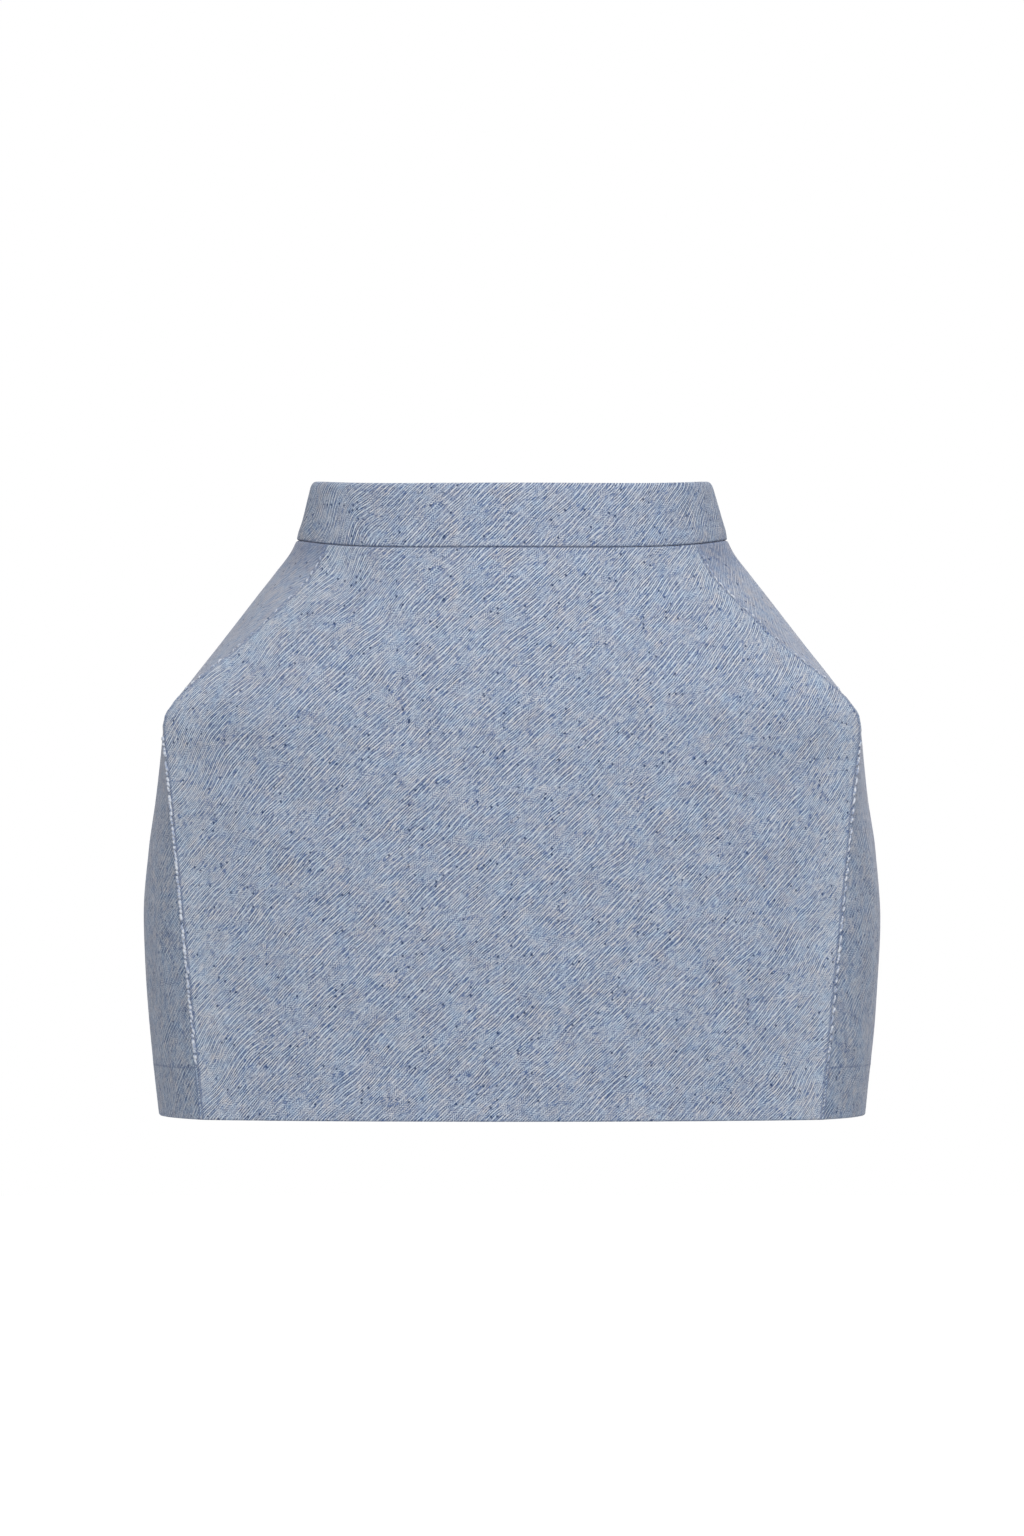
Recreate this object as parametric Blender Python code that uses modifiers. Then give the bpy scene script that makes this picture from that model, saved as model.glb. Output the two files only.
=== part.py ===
"""Structured knit mini skirt, open as it is when worn: waistband, front, two side panels, two back
halves and a concealed zip at the centre back. Metres, +Z up, front towards -Y, so the wearer's left
is at +X. The origin is the centre of the waist, 20 mm below the top edge."""

import math
from collections import namedtuple

import bmesh
import bpy
import numpy as np
from mathutils import Matrix

# ---------------------------------------------------------------- driving sizes

CLOTH = 0.002  # one layer of the firm double-faced knit
BAND_WALL = 0.0034  # the waistband: two layers, pressed
SEAM_GAP = 0.0003  # between pieces that are sewn edge to edge
HEM_TURN_UP = 0.032  # height of the second layer folded up inside the hem
HEM_FOLD_STEP = 0.0005  # over this height the wall grows from one layer to two

# Horizontal sections of the skirt below the waist seam. drop is the distance below the origin.
# side and seam are half widths: of the whole skirt, and to the seams between the side panels and the rest.
# The last four columns are depths: front and back at the centre, and at the front and back seams.
Section = namedtuple("Section", "drop side seam front front_seam back_seam back")
BODY = [
    Section(0.0166, 0.1345, 0.1153, -0.0980, -0.0505, 0.0474, 0.0920),  # waist seam
    Section(0.0240, 0.1382, 0.1178, -0.0995, -0.0510, 0.0490, 0.0950),
    Section(0.0370, 0.1480, 0.1250, -0.1020, -0.0520, 0.0520, 0.1000),
    Section(0.0520, 0.1598, 0.1388, -0.1045, -0.0530, 0.0540, 0.1050),
    Section(0.0820, 0.1830, 0.1693, -0.1100, -0.0550, 0.0580, 0.1140),
    Section(0.1090, 0.2038, 0.2012, -0.1140, -0.0570, 0.0610, 0.1210),
    Section(0.1190, 0.2108, 0.2104, -0.1155, -0.0580, 0.0620, 0.1230),
    Section(0.1270, 0.2155, 0.2151, -0.1165, -0.0580, 0.0620, 0.1245),  # hip corners
    Section(0.1340, 0.2172, 0.2162, -0.1170, -0.0585, 0.0625, 0.1260),
    Section(0.1570, 0.2200, 0.2137, -0.1185, -0.0610, 0.0650, 0.1285),
    Section(0.1790, 0.2226, 0.2113, -0.1195, -0.0650, 0.0690, 0.1300),
    Section(0.2090, 0.2270, 0.2081, -0.1205, -0.0700, 0.0740, 0.1310),
    Section(0.2540, 0.2302, 0.2034, -0.1210, -0.0770, 0.0810, 0.1310),
    Section(0.3140, 0.2269, 0.1973, -0.1210, -0.0840, 0.0880, 0.1290),
    Section(0.3755, 0.2206, 0.1913, -0.1210, -0.0880, 0.0930, 0.1270),  # hem
]
# Sections of the waistband, an oval: half width, and depth at the centre front and centre back.
BandSection = namedtuple("BandSection", "drop side front back")
BAND = [
    BandSection(-0.0200, 0.1248, -0.0950, 0.0880),  # top edge
    BandSection(-0.0080, 0.1280, -0.0958, 0.0893),
    BandSection(0.0040, 0.1313, -0.0968, 0.0906),
    BandSection(0.0120, 0.1338, -0.0976, 0.0916),
    BandSection(0.0166, 0.1345, -0.0980, 0.0920),  # waist seam
]
PANEL_ARC = 0.857  # how round the front and back sections are: 0 a parabola, 1 a quarter of an ellipse
SIDE_ARC = 0.52  # the same for the side panels
TOP_EDGE_DIP = 0.0031  # the top edge is this much lower at the centre front than at the sides
WAIST_SEAM_DIP = 0.0062  # and so is the waist seam
WAIST_SEAM_DIP_BACK = 0.0034
DIP_DIES_OUT = 0.110  # over this height below the waist seam

EXTRA_ROWS = [0.067, 0.096, 0.145, 0.232, 0.284]  # of faces, between the sections of the table
PANEL_COLUMNS = 20
SIDE_COLUMNS = 8
HALF_BACK_COLUMNS = 10
BAND_COLUMNS = 64
BAND_DROPS = [-0.0200, -0.0194, -0.0182, -0.0160, -0.0110, -0.0040, 0.0060, 0.0166]
ROLL = (0.0022, 0.0040)  # the cloth rolls in by the first over the top's last, where the band is folded
BAND_EDGE_ROUND = 0.0010

ZIP_BOTTOM_DROP = 0.157  # the zip runs from just below the top edge to this section
TAPE_WIDTH = 0.0095  # of each half
TAPE_WALL = 0.0008
SLIDER_DROP = -0.0145  # height of the slider's middle, and of the pull's hinge
SLOT_HALF = 0.0010  # the two edges part by this much each side of the slider's neck
SLOT_CLOSED_DROP = -0.004  # below here the edges meet again
SLOT_OPEN_DROP = -0.011
SLIDER_BODY = (0.0062, 0.0030, 0.0085)  # width, thickness, height
SLIDER_CLEARANCE = 0.0004  # more than a seam's gap, inside the tapes
CAST_ROUND = 0.0007
NECK = (0.0010, 0.0042)  # width, height
NECK_IN_RING = 0.00016  # how far the neck reaches past the middle of the ring's wire
RING_RADIUS = 0.0014
RING_WIRE = 0.0004
RING_CLEARANCE = 0.00035  # to the waistband's outer face
PULL_LENGTH = 0.018
PULL_WIDTH = 0.0052
PULL_WALL = 0.0009
PULL_EYE_BAR = 0.00055  # half the height of the bar that hangs in the ring
PULL_EYE = (0.0012, 0.0025)  # half width of the eye, and how far down from the hinge it reaches
PULL_SHOULDER = 0.0020  # half width beside the eye
PULL_CORNER = 0.0005
PULL_REST_CLEARANCE = 0.0003


# ---------------------------------------------------------------- surfaces


def smooth(known, values, wanted):
    """Cubic curve through a table's column that never overshoots it (monotone Hermite)."""
    known, values = np.asarray(known, float), np.asarray(values, float)
    wanted = np.asarray(wanted, float)
    step = np.diff(known)
    slope = np.diff(values) / step
    tangent = np.empty_like(values)
    tangent[0], tangent[-1] = slope[0], slope[-1]
    before, after = slope[:-1], slope[1:]
    same_way = before * after > 0
    total = np.where(same_way, before + after, 1.0)
    tangent[1:-1] = np.where(same_way, 2 * before * after / total, 0.0)
    i = np.clip(np.searchsorted(known, wanted) - 1, 0, len(step) - 1)
    t = (wanted - known[i]) / step[i]
    return (
        (1 + 2 * t) * (1 - t) ** 2 * values[i]
        + t * (1 - t) ** 2 * step[i] * tangent[i]
        + t * t * (3 - 2 * t) * values[i + 1]
        + t * t * (t - 1) * step[i] * tangent[i + 1]
    )


def column(table, name, drops):
    """One named column of a table of sections, read at any heights."""
    return smooth([row.drop for row in table], [getattr(row, name) for row in table], drops)


def arc(t, roundness):
    """0 at t = 0 and 1 at t = 1, along part of an ellipse that is flat where t = 0."""
    return (1 - np.sqrt(1 - (roundness * t) ** 2)) / (1 - math.sqrt(1 - roundness**2))


def ease(share):
    """0 up to share = 0 and 1 from share = 1, level at both ends."""
    return np.sin(np.clip(share, 0, 1) * math.pi / 2) ** 2


def waist_dip(y, drops):
    """How far a point lies below its section, because the waist seam sags at the front and back."""
    front = WAIST_SEAM_DIP * ease(y / BODY[0].front)
    back = WAIST_SEAM_DIP_BACK * ease(y / BODY[0].back)
    return (front + back) * ease(1 - (drops - BODY[0].drop) / DIP_DIES_OUT)


def panel_points(drops, across, centre, seam_depth):
    """Front or back: x runs from seam to seam as across goes from -1 to 1, and y bends to the seams."""
    drops, across = np.meshgrid(drops, across, indexing="ij")
    middle, edge = column(BODY, centre, drops), column(BODY, seam_depth, drops)
    x = column(BODY, "seam", drops) * across
    y = middle + (edge - middle) * arc(np.abs(across), PANEL_ARC)
    return np.stack([x, y, -drops - waist_dip(y, drops)], axis=-1)


def side_points(drops, along, side):
    """A side panel: y runs from front to back seam as along goes from -1 to 1, and x bulges outwards."""
    drops, along = np.meshgrid(drops, along, indexing="ij")
    front, back = column(BODY, "front_seam", drops), column(BODY, "back_seam", drops)
    seam, widest = column(BODY, "seam", drops), column(BODY, "side", drops)
    y = (front + back) / 2 + (back - front) / 2 * along
    x = widest - (widest - seam) * arc(np.abs(along), SIDE_ARC)
    return np.stack([side * x, y, -drops - waist_dip(y, drops)], axis=-1)


def band_points(drops, columns):
    """The waistband: an oval from the left side of the zip, round the front, to its right side."""
    slot = slot_half_width(drops)
    widths = column(BAND, "side", drops)
    ends = np.pi - np.arcsin(slot / widths)
    turn = np.linspace(-1, 1, columns + 1)[None, :] * ends[:, None]
    drops = drops[:, None] + 0 * turn
    front, back = column(BAND, "front", drops), column(BAND, "back", drops)
    y = np.where(np.abs(turn) < np.pi / 2, -front, back) * -np.cos(turn)
    share_up = (BAND[-1].drop - drops) / (BAND[-1].drop - BAND[0].drop)
    top = TOP_EDGE_DIP * ease(y / BAND[0].front)
    z = -drops - top * share_up - waist_dip(y, np.full_like(drops, BODY[0].drop)) * (1 - share_up)
    return np.stack([widths[:, None] * np.sin(turn), y, z], axis=-1)


def slot_half_width(drops):
    """Half the gap at the centre back: open round the slider's neck, and closed below it."""
    return np.interp(drops, [SLOT_OPEN_DROP, SLOT_CLOSED_DROP], [SLOT_HALF, SEAM_GAP / 2])


def draw_back(points):
    """Moves both side edges in by half a seam's gap, along the cloth."""
    for edge, neighbour in ((0, 1), (-1, -2)):
        inward = points[:, neighbour] - points[:, edge]
        points[:, edge] += inward * (SEAM_GAP / 2) / np.linalg.norm(inward, axis=-1, keepdims=True)
    return points


def outward(points):
    """Unit normals of a grid of points, turned away from the skirt's axis."""
    across, down = np.gradient(points, axis=1), np.gradient(points, axis=0)
    normals = np.cross(across, down)
    normals /= np.linalg.norm(normals, axis=-1, keepdims=True)
    facing = np.sign((normals[..., :2] * points[..., :2]).sum(axis=-1, keepdims=True))
    return normals * facing


def level_edges(normals, rows):
    """Where an edge is level, the wall's thickness runs level too: the normal's level share, lengthened."""
    level = normals[rows] * (1, 1, 0)
    normals[rows] = level / (level**2).sum(axis=-1, keepdims=True)


def cut_straight(normals, columns):
    """At the centre back the wall's end lies along YZ: the normal's share in it, lengthened."""
    straight = normals[:, columns] * (0, 1, 1)
    normals[:, columns] = straight / (straight**2).sum(axis=-1, keepdims=True)


def mitre(first, first_column, second, second_column):
    """Where two panels meet at a crease, both walls end on the plane that halves it."""
    own = first[:, first_column].copy()
    total = own + second[:, second_column]
    middle = total / np.linalg.norm(total, axis=-1, keepdims=True)
    middle /= (middle * own).sum(axis=-1, keepdims=True)
    first[:, first_column] = middle
    second[:, second_column] = middle


# ---------------------------------------------------------------- objects


def material(name, colour, roughness, metallic=0.0):
    made = bpy.data.materials.new(name)
    made.use_nodes = True
    shader = made.node_tree.nodes["Principled BSDF"]
    shader.inputs["Base Color"].default_value = (*colour, 1.0)
    shader.inputs["Roughness"].default_value = roughness
    shader.inputs["Metallic"].default_value = metallic
    return made


def add_object(name, data, collection, finish):
    made = bpy.data.objects.new(name, data)
    collection.objects.link(made)
    data.materials.append(finish)
    return made


def cloth_wall(name, outer, inner, collection, finish):
    """A panel of cloth: two grids of the same size, one for each face, bridged round their edges."""
    rows, columns = outer.shape[0] - 1, outer.shape[1] - 1
    shell = bmesh.new()
    for points in (outer, inner):
        first = len(shell.verts)
        bmesh.ops.create_grid(shell, x_segments=columns, y_segments=rows, size=0.5)
        shell.verts.ensure_lookup_table()
        for vertex, place in zip(shell.verts[first:], points.reshape(-1, 3)):
            vertex.co = place
    rim = [edge for edge in shell.edges if edge.is_boundary]
    bmesh.ops.bridge_loops(shell, edges=rim)
    bmesh.ops.recalc_face_normals(shell, faces=shell.faces)
    mesh = bpy.data.meshes.new(name)
    shell.to_mesh(mesh)
    shell.free()
    mesh.shade_smooth()
    mesh.set_sharp_from_angle(angle=math.radians(35))
    return add_object(name, mesh, collection, finish)


def body_drops():
    """Heights of the body's rows: its top just clear of the waistband, and two at the hem's fold."""
    fold = BODY[-1].drop - HEM_TURN_UP
    sections = [row.drop for row in BODY[1:]]
    return np.array(sorted([BODY[0].drop + SEAM_GAP, *sections, *EXTRA_ROWS, fold - HEM_FOLD_STEP, fold]))


def layers(drops):
    """Thickness of the wall at each row: one layer, and two below the top of the turned-up hem."""
    fold = BODY[-1].drop - HEM_TURN_UP
    return np.where(drops > fold - HEM_FOLD_STEP / 2, 2 * CLOTH, CLOTH)[:, None, None]


def make_body(collection, finish):
    """Front, two sides and two back halves, mitred where they meet. Returns the inner face of each."""
    drops = body_drops()
    panel_steps = np.linspace(-1, 1, PANEL_COLUMNS + 1)
    side_steps = np.linspace(-1, 1, SIDE_COLUMNS + 1)
    half_steps = np.linspace(0, 1, HALF_BACK_COLUMNS + 1)
    outer = {
        "front_panel": panel_points(drops, panel_steps, "front", "front_seam"),
        "back_panel_right": panel_points(drops, -half_steps, "back", "back_seam"),
        "back_panel_left": panel_points(drops, half_steps, "back", "back_seam"),
        "side_panel_right": side_points(drops, side_steps, -1),
        "side_panel_left": side_points(drops, side_steps, 1),
    }
    normals = {name: outward(draw_back(points)) for name, points in outer.items()}
    mitre(normals["front_panel"], 0, normals["side_panel_right"], 0)
    mitre(normals["front_panel"], -1, normals["side_panel_left"], 0)
    mitre(normals["back_panel_right"], -1, normals["side_panel_right"], -1)
    mitre(normals["back_panel_left"], -1, normals["side_panel_left"], -1)
    cut_straight(normals["back_panel_right"], [0])
    cut_straight(normals["back_panel_left"], [0])
    inner = {}
    for name, points in outer.items():
        level_edges(normals[name], [0, -1])
        inner[name] = points - normals[name] * layers(drops)
        cloth_wall(name, points, inner[name], collection, finish)
    return inner


def make_waistband(collection, finish):
    """One band from zip to zip, rolled in at its top edge, where it is folded. Returns its inner face."""
    drops = np.array(BAND_DROPS)
    points = band_points(drops, BAND_COLUMNS)
    normals = outward(points)
    cut_straight(normals, [0, -1])
    level_edges(normals, [0, -1])
    inner = points - normals * BAND_WALL
    above = np.clip(1 - (drops - drops[0]) / ROLL[1], 0, 1)
    rolled = points - normals * (ROLL[0] * (1 - np.sqrt(1 - above**2)))[:, None, None]
    band = cloth_wall("waistband", rolled, inner, collection, finish)
    rounding = band.modifiers.new("folded edges", "BEVEL")
    rounding.limit_method = "ANGLE"
    rounding.angle_limit = math.radians(50)
    rounding.width = BAND_EDGE_ROUND
    rounding.segments = 2
    return inner


def strip_beside_slot(inner, edge, neighbour, rows):
    """The first TAPE_WIDTH of a piece's inner face, from the edge at the centre back."""
    start, inward = inner[rows, edge], inner[rows, neighbour] - inner[rows, edge]
    width = inward * TAPE_WIDTH / np.linalg.norm(inward, axis=-1, keepdims=True)
    steps = np.linspace(0, 1, 3)[None, :, None]
    return start[:, None] + width[:, None] * steps


def make_zip_tapes(band_inner, body_inner, collection, finish):
    """Two tapes behind the centre back, each made from the inner faces of the band and the back, moved in."""
    drops = body_drops()
    last = int(np.searchsorted(drops, ZIP_BOTTOM_DROP))
    for name, panel, edge, neighbour in (
        ("zip_tape_right", "back_panel_right", 0, 1),
        ("zip_tape_left", "back_panel_left", -1, -2),
    ):
        on_band = strip_beside_slot(band_inner, edge, neighbour, slice(2, None))
        on_body = strip_beside_slot(body_inner[panel], 0, 1, slice(1, last + 1))
        inner_face = np.concatenate([on_band, on_body])
        normals = outward(inner_face)
        cut_straight(normals, [0])
        level_edges(normals, [0, -1])
        outer = inner_face - normals * SEAM_GAP
        cloth_wall(name, outer, outer - normals * TAPE_WALL, collection, finish)


def box(name, size, centre):
    """A closed box, as a mesh with its place in it."""
    mesh = bpy.data.meshes.new(name)
    shape = bmesh.new()
    scale = Matrix.Diagonal((*size, 1))
    bmesh.ops.create_cube(shape, size=1, matrix=Matrix.Translation(centre) @ scale)
    shape.to_mesh(mesh)
    shape.free()
    return mesh


def hinge_place():
    """The pull's hinge: behind the waistband's outer face by the ring's size and a little clearance."""
    face = float(column(BAND, "back", SLIDER_DROP))
    return 0.0, face + RING_CLEARANCE + RING_WIRE + RING_RADIUS, -SLIDER_DROP


def make_slider(collection, cutters, finish):
    """The slider's body lies inside the tapes, its neck comes out by the slot, and its ring holds the pull."""
    x, y, z = hinge_place()
    band_face = y - RING_RADIUS - RING_WIRE - RING_CLEARANCE
    front = band_face - BAND_WALL - SEAM_GAP - TAPE_WALL - SEAM_GAP - SLIDER_CLEARANCE
    width, thickness, height = SLIDER_BODY
    middle = front - thickness / 2
    body = box("zip_slider", (width, thickness, height), (x, middle, z))
    slider = add_object("zip_slider", body, collection, finish)
    rounding = slider.modifiers.new("cast edges", "BEVEL")
    rounding.width = CAST_ROUND
    rounding.segments = 2
    neck_width, neck_height = NECK
    neck_end = y - RING_RADIUS + NECK_IN_RING
    neck_size = (neck_width, neck_end - middle, neck_height)
    neck_mesh = box("neck", neck_size, (x, (middle + neck_end) / 2, z))
    neck = add_object("zip_neck_cutter", neck_mesh, cutters, finish)
    bpy.ops.mesh.primitive_torus_add(
        location=(x, y, z),
        rotation=(0, math.pi / 2, 0),
        major_radius=RING_RADIUS,
        minor_radius=RING_WIRE,
        major_segments=20,
        minor_segments=8,
    )
    ring = bpy.context.object
    ring.name = "zip_ring_cutter"
    for old in ring.users_collection:
        old.objects.unlink(ring)
    cutters.objects.link(ring)
    for tool in (neck, ring):
        tool.hide_render = True
        tool.display_type = "WIRE"
        join = slider.modifiers.new("join " + tool.name, "BOOLEAN")
        join.operation = "UNION"
        join.object = tool


def add_outline(curve, points):
    spline = curve.splines.new("POLY")
    spline.points.add(len(points) - 1)
    for point, (across, up) in zip(spline.points, points):
        point.co = (across, up, 0, 1)
    spline.use_cyclic_u = True


def pull_outline():
    """Teardrop: a round shoulder over the eye, straight sides that widen, and a half-round end."""
    end = PULL_WIDTH / 2
    low = -(PULL_LENGTH - end)
    turns = np.linspace(0, math.pi, 13)
    foot = [(end * math.cos(t), low - end * math.sin(t)) for t in turns]
    top = [(-PULL_SHOULDER, PULL_EYE_BAR - PULL_CORNER), (-PULL_SHOULDER + PULL_CORNER, PULL_EYE_BAR)]
    return foot + top + [(-across, up) for across, up in reversed(top)]


def make_pull(collection, finish):
    """The pull hangs in the ring by the bar over its eye, its tip just clear of the waistband."""
    curve = bpy.data.curves.new("zip_pull", "CURVE")
    curve.dimensions = "2D"
    curve.fill_mode = "BOTH"
    curve.extrude = PULL_WALL / 2
    add_outline(curve, pull_outline())
    half, low = PULL_EYE
    add_outline(curve, [(half, -PULL_EYE_BAR), (-half, -PULL_EYE_BAR), (-half, -low), (half, -low)])
    pull = add_object("zip_pull", curve, collection, finish)
    x, y, z = hinge_place()
    tip = z - PULL_LENGTH
    face_at_tip = float(column(BAND, "back", -tip))
    tilt = math.atan((face_at_tip + PULL_REST_CLEARANCE + PULL_WALL / 2 - y) / PULL_LENGTH)
    pull.location = (x, y, z)
    pull.rotation_euler = (math.pi / 2 + tilt, 0, 0)


def main():
    for old in list(bpy.data.objects):
        bpy.data.objects.remove(old, do_unlink=True)
    skirt = bpy.data.collections.new("knit_mini_skirt")
    cutters = bpy.data.collections.new("zip_cutters")
    for group in (skirt, cutters):
        bpy.context.scene.collection.children.link(group)
    knit = material("pale blue knit", colour=(0.31, 0.36, 0.45), roughness=0.9)
    tape = material("zip tape", colour=(0.25, 0.31, 0.42), roughness=0.85)
    metal = material("enamelled zip metal", colour=(0.30, 0.36, 0.47), roughness=0.35, metallic=0.2)
    body_inner = make_body(skirt, knit)
    band_inner = make_waistband(skirt, knit)
    make_zip_tapes(band_inner, body_inner, skirt, tape)
    make_slider(skirt, cutters, metal)
    make_pull(skirt, metal)


main()
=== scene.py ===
# %% [markdown]
# # A structured knit mini skirt
# The skirt is open and hollow, filled out as if worn: a doubled waistband, a front, two side gores,
# two back halves with a concealed zip between them, and a turned-up hem. The construction comes
# from the imported model as a fixed frame. The script gives every piece of cloth its real surface,
# its sewn edges, its soft creases and its diagonal ribs, and puts it in soft light on a white
# ground.

# %% Load the frame
import math
from collections import namedtuple

import bmesh
import bpy
import numpy as np
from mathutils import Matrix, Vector


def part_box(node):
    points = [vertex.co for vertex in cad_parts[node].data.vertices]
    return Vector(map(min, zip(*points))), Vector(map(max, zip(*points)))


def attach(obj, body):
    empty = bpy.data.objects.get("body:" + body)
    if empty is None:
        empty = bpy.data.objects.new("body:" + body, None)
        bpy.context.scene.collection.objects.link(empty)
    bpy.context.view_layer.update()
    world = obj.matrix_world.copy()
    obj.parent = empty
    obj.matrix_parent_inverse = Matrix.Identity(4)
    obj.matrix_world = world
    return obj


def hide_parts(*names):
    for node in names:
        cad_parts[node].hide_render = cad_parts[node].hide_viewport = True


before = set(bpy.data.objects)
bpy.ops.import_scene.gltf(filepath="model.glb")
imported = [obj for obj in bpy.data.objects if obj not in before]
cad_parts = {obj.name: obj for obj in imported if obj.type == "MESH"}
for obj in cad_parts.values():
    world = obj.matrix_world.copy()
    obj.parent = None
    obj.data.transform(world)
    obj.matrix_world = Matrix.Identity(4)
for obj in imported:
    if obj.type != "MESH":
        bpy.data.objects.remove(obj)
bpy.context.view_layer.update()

# %% [markdown]
# ## The cut's own sizes
# The cloth is described by horizontal sections, each with a few named widths and depths. A maker
# would call them the body's measurements: waist, high hip, the sharp hip corner, and the hem. The
# same measurements drive the solids of the frame, so a surface made from them lies where the frame
# lies. Tables are in millimetres and degrees, the knit's recipe is in millimetres, and all else is
# in metres. Drop is the height below the origin, which is in the middle of the waistband.


# %% Sections of the body and of the waistband
def table(names, *rows):
    """The named columns of rows in millimetres, as arrays in metres."""
    return dict(zip(names.split(), np.array(rows).T / 1000))


BODY = table(
    "drop side seam front front_seam back_seam back",
    (16.6, 134.5, 115.3, -98.0, -50.5, 47.4, 92.0),  # waist seam
    (24.0, 138.2, 117.8, -99.5, -51.0, 49.0, 95.0),
    (37.0, 148.0, 125.0, -102.0, -52.0, 52.0, 100.0),
    (52.0, 159.8, 138.8, -104.5, -53.0, 54.0, 105.0),
    (82.0, 183.0, 169.3, -110.0, -55.0, 58.0, 114.0),
    (109.0, 203.8, 201.2, -114.0, -57.0, 61.0, 121.0),
    (119.0, 210.8, 210.4, -115.5, -58.0, 62.0, 123.0),
    (127.0, 215.5, 215.1, -116.5, -58.0, 62.0, 124.5),  # hip corners
    (134.0, 217.2, 216.2, -117.0, -58.5, 62.5, 126.0),
    (157.0, 220.0, 213.7, -118.5, -61.0, 65.0, 128.5),
    (179.0, 222.6, 211.3, -119.5, -65.0, 69.0, 130.0),
    (209.0, 227.0, 208.1, -120.5, -70.0, 74.0, 131.0),
    (254.0, 230.2, 203.4, -121.0, -77.0, 81.0, 131.0),
    (314.0, 226.9, 197.3, -121.0, -84.0, 88.0, 129.0),
    (375.5, 220.6, 191.3, -121.0, -88.0, 93.0, 127.0),  # hem
)
BAND = table(
    "drop side front back",
    (-20.0, 124.8, -95.0, 88.0),  # top edge
    (-8.0, 128.0, -95.8, 89.3),
    (4.0, 131.3, -96.8, 90.6),
    (12.0, 133.8, -97.6, 91.6),
    (16.6, 134.5, -98.0, 92.0),  # waist seam
)
WAIST_DROP, HEM_DROP, TOP_DROP = BODY["drop"][0], BODY["drop"][-1], BAND["drop"][0]
PANEL_ROUNDNESS = 0.857  # of the front and back sections: 0 a parabola, 1 a quarter of an ellipse
SIDE_ROUNDNESS = 0.52
TOP_EDGE_DIP = 0.0031  # the top edge sags by this much at the centre front
WAIST_SEAM_DIP, WAIST_SEAM_DIP_BACK = 0.0062, 0.0034
DIP_DIES_OUT = 0.110

CLOTH = 0.002  # one layer of the firm double-faced knit
BAND_WALL = 0.0034  # two layers, pressed together
SEAM_GAP = 0.0003
HEM_TURN_UP = 0.032
ZIP_BOTTOM_DROP = 0.157
SLOT_HALF = 0.0010  # half the opening round the zip slider's neck
SLOT_OPEN_DROP, SLOT_CLOSED_DROP = -0.011, -0.004


# %% Reading the tables
def smooth(known, values, wanted):
    """A cubic through the table's values that never overshoots them: the slope at each value is the
    harmonic mean of the slopes on both sides, and zero where they point opposite ways."""
    wanted = np.asarray(wanted, float)
    step = np.diff(known)
    slope = np.diff(values) / step
    before, after = slope[:-1], slope[1:]
    same_way = before * after > 0
    mean = np.where(same_way, 2 * before * after / np.where(same_way, before + after, 1.0), 0.0)
    tangent = np.concatenate([slope[:1], mean, slope[-1:]])
    i = np.clip(np.searchsorted(known, wanted) - 1, 0, len(step) - 1)
    t = (wanted - known[i]) / step[i]
    start = (1 + 2 * t) * (1 - t) ** 2 * values[i] + t * (1 - t) ** 2 * step[i] * tangent[i]
    end = t * t * (3 - 2 * t) * values[i + 1] + t * t * (t - 1) * step[i] * tangent[i + 1]
    return start + end


def column(sections, name, drops):
    """One named column of a table of sections, read at any drops."""
    return smooth(sections["drop"], sections[name], drops)


def ease(share):
    """A soft step: the square of the sine, from 0 at share 0 to 1 at share 1."""
    return np.sin(np.clip(share, 0, 1) * math.pi / 2) ** 2


def bend(t, roundness):
    """0 at t = 0 and 1 at t = 1 (or -1), along the part of an ellipse that is flat where t = 0."""
    return (1 - np.sqrt(1 - (roundness * t) ** 2)) / (1 - math.sqrt(1 - roundness**2))


# %% [markdown]
# ## Surfaces as functions
# Each piece is a function of two numbers: the drop, and a share across that runs from the piece's
# left edge to its right edge, as somebody facing it from outside sees it. A sculpted form or a
# simulated one would also do, but a firm knit hardly drapes: it keeps the cut's own curves, and a
# function gives them exactly, with the seams of two pieces on the same line.


# %% The body's panels and the waistband's oval
def waist_dip(y, drops):
    """The sag of the waist seam: its dip at the centre front or back, times a soft step from the
    side, where y is 0, to there, and times one that dies out down the body."""
    front = WAIST_SEAM_DIP * ease(y / BODY["front"][0])
    back = WAIST_SEAM_DIP_BACK * ease(y / BODY["back"][0])
    return (front + back) * ease(1 - (drops - WAIST_DROP) / DIP_DIES_OUT)


def placed(x, y, drops):
    """Points from x and y, with z below the origin by the drop and the sag."""
    x, y, drops = np.broadcast_arrays(x, y, drops)
    return np.stack([x, y, -drops - waist_dip(y, drops)], axis=-1)


def broad_cut(name, facing):
    """The surface of the front, facing 1, or the back, facing -1, whose right is at -X: x is the
    seam's half width times the share, and y bends from the centre's depth to the seam's."""

    def cut(drops, across):
        middle, edge = column(BODY, name, drops), column(BODY, name + "_seam", drops)
        y = middle + (edge - middle) * bend(across, PANEL_ROUNDNESS)
        return placed(facing * column(BODY, "seam", drops) * across, y, drops)

    return cut


def side_cut(side):
    """The surface of one gore, side is 1 at +X and -1 at -X: y runs in a straight line between the
    front and back seams, and x bulges from the seam's half width to the widest."""

    def cut(drops, across):
        front, back = column(BODY, "front_seam", drops), column(BODY, "back_seam", drops)
        seam, widest = column(BODY, "seam", drops), column(BODY, "side", drops)
        y = (front + back) / 2 + (back - front) / 2 * across * side
        x = side * (widest - (widest - seam) * bend(across, SIDE_ROUNDNESS))
        return placed(x, y, drops)

    return cut


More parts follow.
